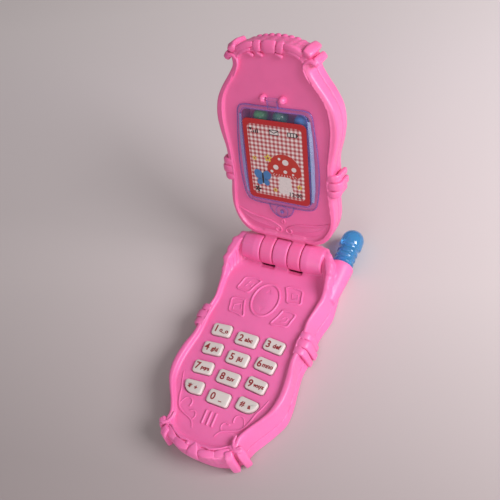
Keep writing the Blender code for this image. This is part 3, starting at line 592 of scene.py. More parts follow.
def film_plastic(name, flat, edge, alphas, rough=0.05):
    """Thin tinted clear plastic: nearly invisible face on, coloured where it is seen edge on."""
    look = Look(name, Coat_Weight=1.0, Coat_Roughness=0.03)
    facing = look.node("LayerWeight", Blend=0.5)["Facing"]
    cover = look.ramp(facing, *zip((0.25, 0.45, 0.8), alphas))
    swirl = look.spread(look.noise(130.0), 0.85, 1.15)
    look.skin(
        Base_Color=look.ramp(facing, (0.3, flat), (0.7, edge)),
        Alpha=look.node("Math", cover, swirl, operation="MULTIPLY")[0],
        Roughness=look.spread(look.noise(500.0, 5.0, 0.7), rough, rough + 0.07),
    )
    look.bump(look.noise(220.0, 2.0), 0.08)
    return look.mat


def metal(name, colour, rough=0.3):
    look = Look(name, Metallic=1.0)
    lines = look.noise(900.0, 4.0, 0.6, (1.0, 12.0, 1.0))
    look.skin(Base_Color=look.ramp(lines, (0.3, scaled(colour, 0.82)), (0.7, colour)),
              Roughness=look.spread(lines, rough - 0.08, rough + 0.15))
    look.bump(lines, 0.08, 0.0001)
    return look.mat


def printed(name, colour, rough=0.45):
    """Ink or dyed paper: slightly uneven, with a fine tooth."""
    look = Look(name, Coat_Weight=0.3, Coat_Roughness=0.15)
    blot = look.noise(1400.0, 4.0, 0.6)
    look.skin(Base_Color=look.ramp(blot, (0.3, scaled(colour, 0.86)), (0.65, colour)),
              Roughness=look.spread(blot, rough - 0.05, rough + 0.1))
    look.bump(look.noise(2500.0, 2.0), 0.05, 0.0001)
    return look.mat


def sugar(name, colour):
    """A pressed sweet's shell: mottled dye under a thin glaze."""
    look = Look(name, Subsurface_Weight=0.2, Subsurface_Scale=0.001, Coat_Weight=0.5)
    cloud = look.noise(320.0, 5.0, 0.65)
    pale = tuple(min(1, c * 0.8 + 0.2) for c in colour)
    look.skin(
        Base_Color=look.ramp(cloud, (0.3, scaled(colour, 0.8)), (0.55, colour), (0.8, pale)),
        Roughness=look.spread(cloud, 0.2, 0.4),
    )
    look.bump(cloud, 0.25, 0.0003)
    return look.mat


def circuit_green():
    """Solder mask over copper: fine tracks show as a weave of lighter lines."""
    look = Look("board_solder_mask", Roughness=0.35)
    brick = look.node(
        "TexBrick", Vector=look.place(), Scale=420.0, Mortar_Size=0.03,
        Color1=(0.02, 0.16, 0.06, 1), Color2=(0.02, 0.20, 0.08, 1), Mortar=(0.08, 0.36, 0.14, 1),
    )
    look.skin(Base_Color=brick["Color"])
    look.bump(brick["Fac"], 0.2, 0.0001)
    return look.mat


def gingham():
    """Two crossed sets of translucent red stripes on white card."""
    look = Look("card_gingham", Coat_Weight=0.3)
    pitch = 1.75 * MM
    stripes = []
    for way in (Vector((1, 0, 0)), LID_V):
        along = look.node("VectorMath", look.place(), way / pitch, operation="DOT_PRODUCT")
        wave = look.node("Math", along["Value"], operation="FRACT")[0]
        edge = look.tree.nodes.new("ShaderNodeMapRange")
        edge.interpolation_type = "SMOOTHSTEP"
        look.set(edge, {"Value": wave, "From Min": 0.44, "From Max": 0.56})
        stripes.append(edge.outputs["Result"])
    total = look.node("Math", *stripes, operation="ADD")[0]
    half = look.node("Math", total, 0.5, operation="MULTIPLY")[0]
    look.skin(
        Base_Color=look.ramp(half, (0.0, (0.80, 0.70, 0.68)), (0.5, (0.60, 0.30, 0.30)),
                             (1.0, (0.40, 0.05, 0.06))),
        Roughness=look.spread(look.noise(1500.0, 4.0), 0.38, 0.55),
    )
    return look.mat


MATS = {
    "pink_body": moulded_plastic("pink_body_plastic", (0.90, 0.175, 0.445)),
    "pink_lid": moulded_plastic("pink_lid_plastic", (0.90, 0.16, 0.40)),
    "key_white": moulded_plastic("key_white_plastic", (0.70, 0.64, 0.61), 0.35, 0.15, 1500.0, 0.3,
                                 0.1, (1, 0.9, 0.8)),
    "key_ink": printed("key_dark_red_ink", (0.30, 0.015, 0.02)),
    "mat_rubber": moulded_plastic("mat_silicone", (0.62, 0.60, 0.56), 0.7, 0.2, 2000.0, 0.0),
    "board_green": circuit_green(),
    "chip_epoxy": moulded_plastic("chip_epoxy", (0.015, 0.015, 0.016), 0.25, 0.0, 800.0, 0.5),
    "speaker_black": moulded_plastic("speaker_black", (0.03, 0.03, 0.035), 0.5, 0.0, 1800.0, 0.1,
                                     0.3),
    "steel": metal("plated_steel", (0.62, 0.61, 0.60), 0.28),
    "brass": metal("spring_brass", (0.78, 0.56, 0.22)),
    "wire_red": moulded_plastic("wire_red_skin", (0.6, 0.03, 0.03), 0.4, 0.0, 2500.0),
    "wire_black": moulded_plastic("wire_black_skin", (0.02, 0.02, 0.02), 0.4, 0.0, 2500.0),
    "led_clear": clear_plastic("led_lens", (0.92, 0.94, 1.0), (0.7, 0.8, 1.0), 60.0),
    "antenna_blue": clear_plastic("antenna_azure", (0.10, 0.52, 1.0), (0.20, 0.62, 1.0), 15.0, 0.05,
                                  0.34),
    "clear_violet": film_plastic("cover_violet", (0.50, 0.42, 0.90), (0.13, 0.14, 0.62),
                                 (0.07, 0.14, 0.85)),
    # Pale film for the window's side walls: a painted glint, not the cover's own tint.
    "painted_glint_film": film_plastic("cover_wall_painted_glint", (0.46, 0.62, 1.0), (0.22, 0.28, 0.88),
                               (0.34, 0.4, 0.85)),
    "clear_edge": film_plastic("cover_violet_edge", (0.22, 0.18, 0.66), (0.10, 0.09, 0.46),
                               (0.42, 0.55, 0.92)),
    "card_gingham": gingham(),
}
for key, name, colour in (
    ("candy_green", "candy_green", (0.10, 0.50, 0.13)),
    ("candy_mint", "candy_dark_green", (0.03, 0.25, 0.14)),
    ("candy_blue", "candy_blue", (0.05, 0.30, 0.75)),
    ("candy_orange", "candy_orange", (0.85, 0.28, 0.04)),
    ("candy_yellow", "candy_yellow", (0.85, 0.62, 0.05)),
    ("candy_pink", "candy_pink", (0.85, 0.15, 0.35)),
):
    MATS[key] = sugar(name, colour)
for key, name, colour in (
    ("card_red", "card_red_border", (0.50, 0.015, 0.02)),
    ("card_white", "card_white", (0.75, 0.68, 0.66)),
    ("card_black", "card_black_ink", (0.02, 0.018, 0.02)),
    ("card_blue", "card_blue_ink", (0.06, 0.20, 0.46)),
    ("card_plum", "card_plum_ink", (0.32, 0.05, 0.10)),
    ("card_yellow", "card_yellow_ink", (0.72, 0.52, 0.05)),
    ("card_motif_red", "card_motif_red", (0.52, 0.03, 0.02)),
):
    MATS[key] = printed(name, colour)


# ------------------------------------------------------------------ base
BASE = [outline(points) for points in (BASE_OUTER, BASE_TABLE, BASE_RIDGE, BASE_INNER)]


def collar_lift(v):
    """The rim rises by 4 mm into a collar around the hinge, and falls away behind it."""
    rise = 4.0 * smoothstep(0, 1, (17.5 - v) / 9.5)
    crest = 2.2 * smoothstep(0, 1, (7.0 - v) / 5.5)
    return rise + crest - max(0.0, -3.0 - v) * 0.9


def base_wall(height, offset=0.0):
    outer, table, ridge, _ = BASE
    return away(between(outer, table, (RIM_Z - height) / RIM_Z), ridge, offset)


def key_place(row, column):
    side = column - 1
    return side * 12.09, 40.98 + row * 8.7 + (0.87 if side == 0 else 0.0), side * 5.0


def key_ring(row, column, grow=0.0):
    x, v, turn = key_place(row, column)
    width, depth = (9.5, 5.5) if column == 1 else (8.5, 5.3)
    radii = [1.15 + grow] * 4
    if row == 3 and column != 1:
        radii[0 if column == 2 else 1] = 4.4
    return rounded(width / 2 + grow, depth / 2 + grow, radii, (x, v), 5, turn)


def drum(kit, x0, x1, r0=KNUCKLE_R, r1=None, ease=0.3):
    """A knuckle along the hinge axis, with eased ends."""
    r1 = r0 if r1 is None else r1
    way = 1 if x1 > x0 else -1
    kit.skin([
        [Vector((x, y, AXIS_Z + z)) for y, z in circle(r, 48)]
        for x, r in ((x0, r0 - ease), (x0 + way * ease, r0), (x1 - way * ease, r1), (x1, r1 - ease))
    ])


def base_front():
    outer, table, ridge, inner = BASE
    collar = [1.0 - smoothstep(13.0, 17.0, p.y) for p in outer]
    foot = [smoothstep(84.5, 86.5, p.y) for p in outer]
    rim = [RIM_Z + collar_lift(p.y) for p in ridge]
    edge = [RIM_Z + collar_lift(p.y) - 1.3 * f for p, f in zip(outer, foot)]
    ruffle, fold = pleats(outer, 4.6, collar), pleats(outer, 2.3, foot)
    flare = [
        (0.1 - 0.5 * min(1.0, max(-1.0, p.x / 12))) * smoothstep(0, 1, (15.5 - p.y) / 9)
        for p in outer
    ]
    lip = shift(outer, ridge, flare)
    rings = []
    for t in (0.0, 0.3, 0.5, 0.68, 0.82, 0.93):
        top = [FACE_Z + (z - 0.12 - FACE_Z) * t ** 2.5 for z in rim]
        rings.append(([h + 0.22 * t * w for h, w in zip(top, ruffle)], between(inner, ridge, t)))
    for t, drop in ((0.12, 0.02), (0.4, 0.0), (0.72, 0.0)):
        heights = [r * (1 - t) + e * t - drop + 0.25 * w for r, e, w in zip(rim, edge, ruffle)]
        rings.append((heights, between(ridge, lip, t)))
    rings.append(([e - 0.5 + 0.2 * w for e, w in zip(edge, ruffle)],
                  shift(lip, ridge, [0.42 * w for w in ruffle])))
    seam = SEAM_Z + SEAM_GAP
    for height, part in ((10.4, 0.75), (8.0, 0.35), (6.0, 0.1), (seam, 0.0)):
        wave = [0.12 * f + part * (a + 0.35 * w) for f, a, w in zip(fold, flare, ruffle)]
        below_edge = [min(height, e - 1.2) for e in edge]
        rings.append((below_edge, shift(base_wall(height), ridge, wave)))
    rings.append((seam, base_wall(SEAM_Z, -1.6)))
    rings.append((FACE_Z - 1.5, base_wall(FACE_Z - 1.5, -2.2)))
    shell = lofted(on_base, rings).object()
    slots = Kit(Vector)
    for _ in slots.sides():
        slots.across([(-7.4, 6.2), (-7.4, 24), (14, 24), (14, 9), (5.3, 9), (5.3, 6.2)], 3.3, 9.7)
    carve(shell, slots)
    carve(shell, prisms(on_base, *((key_ring(row, column, 0.22), 6.5, 14)
                                   for row in range(4) for column in range(3))))
    return shell


def socket(kit):
    """The cone that holds the antenna, along the base's right side."""
    kit.spun([(-14.5, 2.2), (-14, 3.6), (-10, 4.35), (-4, 4.85), (2.6, 5.35), (3.4, 5.3),
              (3.8, 4.95)])


def side_fold(kit, inner, outer, top, low, lean):
    """Three ribbon folds across a long side's rim, running down its wall, with a keeper band."""
    middle = 36.9
    for _ in kit.sides():
        for v, half, out in ((33.5, 1.55, 0.1), (middle, 1.8, 0.8), (40.3, 1.55, 0.2)):
            edge = outer + out - 0.9
            kit.strap([
                (inner + 0.3, middle + (v - middle) * 0.9, top - 0.95),
                (inner + 1.6, v, top - 0.85), (edge - 1.0, v, top - 0.85),
                (edge + 0.1, v, top - 1.6), (edge + 0.4, v, top - 3.2),
                (edge + lean * 0.6, v, (top + low) / 2), (edge + lean, v, low),
            ], [half * part for part in (0.8, 0.95, 1, 1, 1, 0.95, 0.85)], 0.85, (0, 1, 0))
        kit.tube([(inner + 0.2, 32.2, top - 0.75), (inner - 0.1, middle, top - 0.55),
                  (inner + 0.2, 41.6, top - 0.75)], [0.4, 0.55, 0.4])


def foot_ribbons(kit):
    """Curled rim ends, ribbon ends hanging down the corners, swags and a bow around the foot."""
    top = BASE_TOP
    for _ in kit.sides():
        kit.tube([
            (13.8, 79.4, top - 0.5), (13.7, 81.2, top - 0.6), (14.4, 83.0, top - 0.75),
            (16.0, 84.3, top - 0.9), (17.4, 83.6, top - 1.1),
        ], [0.45, 0.6, 0.75, 0.9, 1.1], 14)
        kit.strap([
            (13.6, 85.8, top - 1.2), (14.3, 87.0, top - 1.6), (14.7, 87.7, top - 3.0),
            (15.1, 88.2, 5.0), (15.4, 88.5, 1.7),
        ], [1.5, 1.75, 1.8, 1.75, 1.6], 1.2, (0.82, -0.5, 0))
        kit.strap([
            (16.4, 82.9, top - 1.2), (17.3, 83.8, top - 1.8), (17.8, 84.3, top - 3.2),
            (18.4, 84.8, 5.0), (18.8, 85.1, 1.7),
        ], [1.35, 1.6, 1.65, 1.6, 1.5], 1.15, (0.55, -0.8, 0))
        kit.strap([(2.7, 89.5, 11.0), (4.4, 89.45, 11.2), (6.4, 89.05, 11.2), (8.5, 88.25, 11.0)],
                  [0.9, 1.5, 1.55, 1.1], 0.65, (0.2, 1, -0.32))
        kit.strap([(8.9, 88.0, 11.0), (10.5, 87.25, 11.2), (12.0, 86.2, 11.2), (13.3, 85.1, 11.0)],
                  [1.0, 1.45, 1.4, 1.0], 0.65, (0.55, 1, -0.36))
        kit.tube([
            (2.5, 87.0, 11.75), (4.2, 86.75, 11.85), (6.2, 87.15, 11.75), (8.2, 86.35, 11.85),
            (10.2, 85.5, 11.85), (12.2, 84.1, 11.8),
        ], [0.25, 0.42, 0.45, 0.45, 0.42, 0.3])
    kit.strap([(0.2, 86.9, 11.6), (0.2, 88.4, 11.5), (0.1, 90.1, 11.0), (0, 91.0, 9.6),
               (0, 91.2, 7.4)], [0.45, 1.5, 2.3, 2.7, 2.1], 0.6, (1, 0, 0))
    kit.ball((-3.0, 88.0, 11.6), (0.8, 0.8, 0.55))


def foot_grooves(kit):
    """A wavy crease above the swags, and creases down the folds of the foot."""
    line = ((2.6, 87.75), (4.2, 87.55), (6.2, 87.9), (8.2, 87.1), (10.2, 86.2), (12.2, 84.8),
            (13.3, 84.2))
    for _ in kit.sides():
        kit.strap([(x, v, 12.1) for x, v in line], 1.0, 0.2, (0, 0, 1))
        for x, v0, v1 in ((5.6, 90.6, 91.0), (8.8, 89.9, 90.4), (11.6, 88.7, 89.3)):
            kit.tube([(x, v0 + 0.25, 11.2), (x + 0.35, v1 + 0.35, 6.0), (x + 0.2, v1 + 0.45, 2.0)],
                     [0.24, 0.34, 0.2], 8)


def collar_pleats(kit):
    """Fine creases fanning out inside the collar."""
    _, _, ridge, inner = BASE
    last = None
    for p, q in zip(inner, ridge):
        if not (q.y < 11.5 and abs(q.x) > 12.5):
            last = None
            continue
        if last is not None and (q - last).length < 2.1:
            continue
        last = q
        rise = RIM_Z + collar_lift(q.y) - 0.2 - FACE_Z
        path = []
        for t in (0.2, 0.4, 0.6, 0.8, 0.95):
            spot = p.lerp(q, t)
            path.append((spot.x, spot.y, FACE_Z + rise * t ** 2.5 + 0.1))
        kit.tube(path, [0.12, 0.25, 0.32, 0.32, 0.15], 8)


def base_shells():
    shell = base_front()
    extra = Kit(Vector)
    drum(extra, -3.35, 3.35)
    for side in extra.sides():
        drum(extra, side * 9.65, side * 13.3, ease=0.25)
        drum(extra, side * 12.6, side * 18.6, KNUCKLE_R - 0.05, 5.7, 0.2)
        extra.across([(-8.4, 9.6), (-8.4, 7.4), (-5.0, 7.4), (-5.75, 9.3)], 2.9, 10.1)
    socket(extra)
    moulded(shell, extra)
    trim = Kit(Vector)
    trim.spun(ANTENNA_BORE)
    trim.rod(PIN_ROOM_R, -15.5, 15.5)
    trim.prism(((-40, -110), (40, -110), (40, 20), (-40, 20)), -3.0, SEAM_Z + 0.02)
    carve(shell, trim)
    for lines in (foot_grooves, collar_pleats):
        creases = Kit(on_base)
        lines(creases)
        carve(shell, creases)
    finish(shell, "base_front_shell_skin", "pink_body", "base", "base_front_shell", sharp=50)


def base_back():
    rings = [(0.0, base_wall(0, -1.3)), (0.12, base_wall(0, -0.75)), (0.5, base_wall(0.3, -0.2))]
    rings += [(h, base_wall(h)) for h in (1.3, 3.0, SEAM_Z - SEAM_GAP)]
    rings += [(SEAM_Z - SEAM_GAP, base_wall(SEAM_Z, -1.6)), (1.8, base_wall(1.8, -2.0))]
    shell = lofted(on_base, rings).object()
    lugs = prisms(on_base, *((disc(2.8, spot), 0.9, 4.6) for spot in CASE_SCREWS))
    carve(shell, lugs, "UNION", "EXACT")
    extra = Kit(Vector)
    socket(extra)
    moulded(shell, extra, keep=0.3)
    bore = Kit(Vector)
    bore.spun(ANTENNA_BORE)
    carve(shell, bore)
    carve(shell, sheet(on_base, SEAM_Z - 0.02, 19))
    carve(shell, sheet(on_base, -4, 0.0))
    for ring, top in ((rounded(19.2, 8.4, 1.0, BATTERY), 8.3), (disc(2.4, DOOR_SCREW), 6.4)):
        carve(shell, prisms(on_base, (ring, 1.4, top)), "UNION")
    vents = [disc(0.8, (3.6 * c, 80 + 3.6 * s), 16) for c, s in turns(6)]
    carve(shell, prisms(
        on_base, (rounded(18.2, 7.4, 0.6, BATTERY), -1, 7.4),
        *((disc(2.2, spot), -1, 2.4) for spot in CASE_SCREWS), *((ring, -1, 3) for ring in vents),
    ))
    carve(shell, prisms(on_base, (door_ring(0.3), -1, 1.4)))
    carve(shell, prisms(on_base, *((disc(1.05, spot, 16), -1.5, 5.4)
                                   for spot in CASE_SCREWS + (DOOR_SCREW,))))
    finish(shell, "base_back_shell_skin", "pink_body", "base", "base_back_shell", sharp=50)


def door_ring(grow):
    half_x, half_v, front, tab = 19.6 + grow, 8.7 + grow, 29.7 + grow, 3.2 + grow
    middle = BATTERY[1]
    return [Vector(p) for p in (
        (-half_x, middle - half_v), (half_x, middle - half_v), (half_x, front), (tab, front),
        (tab, 33.8), (1.6, 35.5 + grow), (-1.6, 35.5 + grow), (-tab, 33.8), (-tab, front),
        (-half_x, front),
    )]


def battery_door():
    line = door_ring(0)
    centre = [Vector((0, 22))] * len(line)
    door = lofted(on_base, [
        (0.1, away(line, centre, -0.25)), (0.18, away(line, centre, -0.05)), (0.3, line),
        (1.1, line),
    ]).object()
    carve(door, prisms(on_base, (disc(1.05, DOOR_SCREW, 24), -1, 2)), solver="EXACT")
    carve(door, prisms(on_base, (disc(2.1, DOOR_SCREW), -1, 0.6)), solver="EXACT")
    ribs = Kit(on_base)
    for v in (17.2 + i * 1.3 for i in range(5)):
        ribs.tube([(-3.2, v, 0.1), (3.2, v, 0.1)], 0.16, 8)
    join(door, ribs)
    finish(door, "battery_door_skin", "pink_body", "base", "battery_door", sharp=35)


def relief(name, place, lines, height, look, body):
    """Raised outlines on a face: round bars, half sunk."""
    kit = Kit(place)
    for path, radius in lines:
        kit.tube([(x, v, height) for x, v in path], radius, 8)
    finish(kit.object(), name, look, body)


def base_relief():
    """Navigation pad, four menu buttons with plain marks, speaker bars and vines."""
    buttons = (
        [(5.9, 14.6), (7.6, 13.9), (10.4, 13.9), (13.4, 14.6), (14.2, 17.4), (14.8, 20.3),
         (12.0, 20.7), (9.1, 20.9), (7.7, 17.8), (5.9, 14.6)],
        [(9.0, 25.0), (12.2, 24.9), (14.8, 25.6), (14.2, 28.7), (13.4, 31.4), (10.0, 31.7),
         (6.4, 32.2), (7.9, 28.4), (9.0, 25.0)],
    )
    marks = (
        [(-11.8, 18.6), (-10.6, 15.8)],
        [(-11.2, 17.2), (-8.6, 16.4), (-9.4, 18.2)],
        [(-12.2, 30.4), (-12.6, 28.2), (-10.0, 27.0)],
        [(-9.6, 27.0), (-8.8, 29.6)],
        [(9.6, 16.6), (12.2, 16.4), (12.8, 18.6), (10.4, 18.9), (9.6, 16.6)],
        [(10.2, 28.4), (11.4, 27.2), (12.6, 28.0), (12.0, 29.6), (10.0, 30.0)],
    )
    stem = curve_through([
        (19.3, 62.6), (18.1, 66.0), (16.7, 69.2), (15.7, 72.7), (13.9, 76.1), (11.2, 77.7),
        (8.2, 78.7), (6.2, 79.9), (5.0, 81.9),
    ])
    curls = (
        [(14.4, 75.2), (13.9, 73.4), (12.9, 71.9), (11.5, 71.4), (10.2, 71.9), (9.6, 73.1),
         (9.8, 74.6)],
        [(6.7, 79.3), (5.9, 77.9), (6.1, 76.5), (7.2, 75.7), (8.6, 76.0)],
    )
    pad_x, pad_v = -0.3, 22.6
    lines = [(arc(pad_x, pad_v, 5.9, 7.7, 0, 360, 44), 0.54)]
    lines += [(curve_through(mirrored(button, side), 3), 0.47)
              for side in (1, -1) for button in buttons]
    lines += [(mark, 0.27) for mark in marks]
    lines += [([(x - 0.12, 74.0), (x + 0.12, 78.8)], 0.52) for x in (-2.2, 0, 2.2)]
    for side in (1, -1):
        lines.append((mirrored(stem, side), swelling(stem, 0.26, 0.2)))
        for path in (curve_through(curl, 4) for curl in curls):
            last = len(path) - 1
            radii = [0.24 + 0.16 * i / last for i in range(last + 1)]
            lines.append((mirrored(path, side), radii))
    relief("base_face_relief", on_base, lines, FACE_Z, "pink_body", "base")
    ring = lambda grow: arc(pad_x, pad_v, 5.0 + grow, 6.8 + grow, 0, 351, 39)
    pad = lofted(on_base, [(FACE_Z - 0.4, ring(0)), (FACE_Z + 0.05, ring(0)),
                           (FACE_Z + 0.14, ring(-0.3))]).object()
    for v0, v1 in ((19.6, 17.2), (26.0, 28.4)):
        arrow = ((-1.6, v0), (1.0, v0), (pad_x, v1))
        carve(pad, prisms(on_base, (arrow, FACE_Z - 0.1, FACE_Z + 1)), solver="EXACT")
    finish(pad, "base_navigation_pad", "pink_body", "base", sharp=30)


# ------------------------------------------------------------------ lid
LID = [outline(points) for points in (LID_OUTER, LID_REAR, LID_INNER)]


def lid_wall(n, offset=0.0):
    outer, rear, inner = LID
    return away(between(outer, rear, min(1.0, (LID_RIM_N - n) / 7.5)), inner, offset)


def crown_wave():
    outer = LID[0]
    return pleats(outer, 1.9, [smoothstep(84.0, 86.0, p.y) for p in outer])


def crown_ribbons(kit):
    """Ribbon blocks at the corners, curled rim ends, swags and a knot along the lid's free end."""
    top, low = LID_TOP, LID_LOW
    knob = (1.6, 1.3, 1.15)
    for side in kit.sides():
        kit.tube([
            (15.4, 77.2, 0.2), (14.1, 79.4, 0.28), (13.2, 81.6, 0.28), (13.3, 83.4, 0.2),
            (14.5, 84.7, 0.05), (16.2, 84.9, -0.15), (17.5, 84.2, -0.45),
        ], [0.35, 0.5, 0.55, 0.6, 0.75, 0.95, 1.25], 14)
        kit.strap([(17.4, 84.4, top - 1.3), (17.6, 84.6, -3.0), (17.3, 84.4, low + 0.6)],
                  [1.5, 1.65, 1.45], 1.35, (0.6, -0.8, 0))
        kit.strap([(14.7, 87.3, top - 0.9), (15.1, 87.9, top - 2.0), (15.2, 88.0, -4.0),
                   (14.8, 87.6, low + 0.4)], [1.8, 1.95, 1.95, 1.7], 1.5, (0.85, -0.5, 0))
        kit.strap([(6.5, 89.5, top - 1.05), (8.4, 89.2, top - 0.9), (10.6, 88.4, top - 0.9),
                   (12.8, 87.1, top - 1.1)], [0.9, 1.25, 1.3, 1.1], 0.85, (0.35, 1, 0))
        kit.strap([(7.6, 87.7, top - 0.72), (9.8, 87.1, top - 0.68), (11.9, 85.9, top - 0.72)],
                  [0.5, 0.7, 0.55], 0.55, (0.4, 1, 0))
        kit.strap([(4.3, 87.3, top - 0.85), (4.5, 88.6, top - 0.7), (4.7, 89.8, top - 0.85),
                   (4.7, 90.4, top - 1.6)], [1.2, 1.5, 1.55, 1.3], 0.7, (1, 0, 0))
        for x, v in ((2.6, 89.7), (5.1, 89.4), (7.6, 88.9), (10.0, 88.0)):
            kit.ball((x, v, -8.1), knob, -side * x * 2.2)
    kit.strap([(0.2, 87.1, top - 0.9), (0.2, 88.5, top - 0.7), (0.2, 90.0, top - 0.85),
               (0.2, 90.6, top - 1.6)], [2.3, 2.75, 2.85, 2.5], 0.7, (1, 0, 0))
    kit.ball((0, 89.8, -8.1), knob)
    for x0, v0, x1, v1 in ((-8.6, 86.3, -6.9, 85.5), (-4.9, 86.6, -3.1, 85.7),
                           (2.9, 86.6, 4.7, 85.7)):
        kit.tube([(x0, v0, 0.02), (x1, v1, -0.15)], [0.55, 0.8], 12)


def lid_front():
    outer, _, inner = LID
    dip = [0.5 * smoothstep(83.5, 86.5, p.y) for p in inner]
    fold = [0.14 * w for w in crown_wave()]
    rings = [(LID_FACE_N, inner)]
    for t, n in ((0.05, -0.45), (0.1, 0.1), (0.15, 0.6), (0.2, 0.78), (0.25, 0.7), (0.3, 0.5),
                 (0.44, 0.42), (0.66, 0.38), (0.84, 0.22), (0.95, -0.1)):
        rings.append(([n - d * min(1.0, t * 4) for d in dip], between(inner, outer, t)))
    seam = LID_SEAM_N + SEAM_GAP
    rings += [(n, shift(lid_wall(n), inner, fold)) for n in (-0.8, -2.4, seam)]
    rings += [(seam, lid_wall(LID_SEAM_N, -1.6)), (-1.9, lid_wall(-1.9, -2.2))]
    return lofted(on_lid, rings).object()


def tub_ring(grow):
    return rounded(14.2 + grow, 19.0 + grow, 2.2 + grow, (0, WINDOW_V), 5)


def lid_shells():
    shell = lid_front()
    extra = prisms(
        on_lid, (rounded(15.2, 20.0, 3.0, (0, WINDOW_V)), -7.5, -1.2),
        *((disc(2.3, spot, 20), -6.0, -1.3) for spot in LID_SCREWS),
        *((rounded(2.85, 5.2, 0.3, (x, 5.2)), -4.1, -0.2) for x in (6.5, -6.5)),
    )
    join(shell, extra)
    knuckles = Kit(Vector)
    for side in (1, -1):
        drum(knuckles, side * 3.65, side * 9.35)
    moulded(shell, knuckles)
    carve(shell, sheet(on_lid, LID_SEAM_N - 30, LID_SEAM_N + 0.02, 6.6))
    # The candy tub behind the window is a tray whose walls hang below the seam.
    carve(shell, lofted(on_lid, [(-6.6, tub_ring(0)), (-4.0, tub_ring(0)), (-4.0, tub_ring(1.0)),
                                 (-7.1, tub_ring(1.0)), (-7.5, tub_ring(0.6))]), "UNION")
    carve(shell, prisms(on_lid, (tub_ring(0), -6.6, 3.0)))
    pin = Kit(Vector)
    pin.rod(PIN_ROOM_R, -11, 11)
    carve(shell, pin)
    ears = Kit(on_lid)
    for _ in ears.sides():
        ears.tube([(4.0, COVER_PIVOT[0], -1.2), (4.0, COVER_PIVOT[0], 0.55)], [1.5, 1.45], 28)
    carve(shell, ears, "UNION")
    eye = Kit(on_lid)
    eye.rod(0.8, -4.9, 4.9, COVER_PIVOT)
    carve(shell, eye)
    finish(shell, "lid_front_shell_skin", "pink_lid", "lid", "lid_front_shell", sharp=50)


def lid_back():
    _, rear, inner = LID
    fold = [0.12 * w for w in crown_wave()]
    seam = LID_SEAM_N - SEAM_GAP
    rings = [(-8.0, away(rear, inner, -2.6)), (seam, lid_wall(LID_SEAM_N, -1.6))]
    rings += [(n, shift(lid_wall(n), inner, fold)) for n in (seam, -6.0, -7.6)]
    rings += [(n, away(rear, inner, offset)) for n, offset in (
        (-8.3, -0.12), (-8.75, -0.4), (-9.08, -0.85), (-9.25, -1.5), (-9.3, -2.4))]
    shell = lofted(on_lid, rings).object()
    posts = prisms(on_lid, *((disc(2.7, spot, 20), -8.9, -6.3) for spot in LID_SCREWS))
    moulded(shell, posts, keep=0.3)
    carve(shell, sheet(on_lid, LID_SEAM_N - 0.02, LID_SEAM_N + 30))
    for r, n0, n1, segments in ((2.2, -12, -7.4, 24), (1.05, -11, -5, 16)):
        carve(shell, prisms(on_lid, *((disc(r, spot, segments), n0, n1) for spot in LID_SCREWS)))
    finish(shell, "lid_back_shell_skin", "pink_lid", "lid", "lid_back_shell", sharp=50)


def lid_relief():
    """Two petals with raised edges and small curls on the lower face."""
    petal = curve_through([
        (20.4, 18.6), (17.6, 17.6), (14.9, 16.6), (11.7, 16.0), (8.2, 15.6), (5.2, 14.8),
        (3.0, 13.8), (1.4, 12.7),
    ])
    lower_edge = curve_through([(3.0, 10.0), (7.6, 10.2), (12.6, 10.9), (16.3, 13.2), (18.9, 16.2)])
    curl = curve_through([(1.4, 12.7), (1.0, 11.5), (1.7, 10.6), (2.9, 10.6), (3.6, 11.5),
                          (3.2, 12.4), (2.5, 12.2)])
    vein = curve_through([(18.6, 16.8), (15.6, 14.6), (12.2, 13.2), (8.4, 12.6), (5.2, 12.0)])
    drop = curve_through([(0.2, 17.0), (0.75, 15.9), (0.2, 14.8)])
    lines = []
    for side in (1, -1):
        for path, thick in ((petal, 0.42), (curl, 0.36), (vein, 0.22), (drop, 0.32)):
            radii = [thick * r for r in swelling(path, 0.7, 0.5)]
            lines.append((mirrored(path, side), radii))
    relief("lid_face_relief", on_lid, lines, LID_FACE_N + 0.06, "pink_lid", "lid")
    plates = Kit(on_lid)
    for side in (1, -1):
        ring = [Vector(p) for p in mirrored(petal + lower_edge, side)]
        middle = [Vector((side * 10.5, 13.4))] * len(ring)
        plates.loft([(LID_FACE_N - 0.3, ring), (LID_FACE_N + 0.04, ring),
                     (LID_FACE_N + 0.16, away(ring, middle, -0.35))])
    finish(plates.object(), "lid_petals", "pink_lid", "lid")


def ribbons(name, place, look, body, fold, ends):
    """Ornament laid on a body's two shells, with crisp creases where its bars meet."""
    kit = Kit(place)
    side_fold(kit, *fold)
    ends(kit)
    finish(kit.object(), name, look, body)


# ------------------------------------------------------------------ candy cover, card and candies
def half_turn(rx, rv, cv):
    """The lower half of an ellipse about the centre line."""
    angles = [math.pi * i / 24 for i in range(25)]
    return [(rx * math.cos(a), cv - rv * math.sin(a)) for a in angles]


def eased(ring_at, n0, n1, ease, steps=3):
    """A plate whose upper and lower edges are rounded; ring_at gives its outline for an offset."""
    rings = []
    for k in range(steps + 1):
        a = math.pi / 2 * k / steps
        rings.append((ease * (1 - math.cos(a)), ring_at(-ease * (1 - math.sin(a)))))
    return lofted(on_lid, [(n0 + h, ring) for h, ring in rings]
                  + [(n1 - h, ring) for h, ring in reversed(rings)])


def flange(offset):
    line = outline(FLANGE_LINE)
    return away(line, [Vector((0, 45))] * len(line), offset)


def window(half_x, half_v, r, centre_v=45.6, steps=6):
    return rounded(half_x, half_v, r, (0, centre_v), steps)


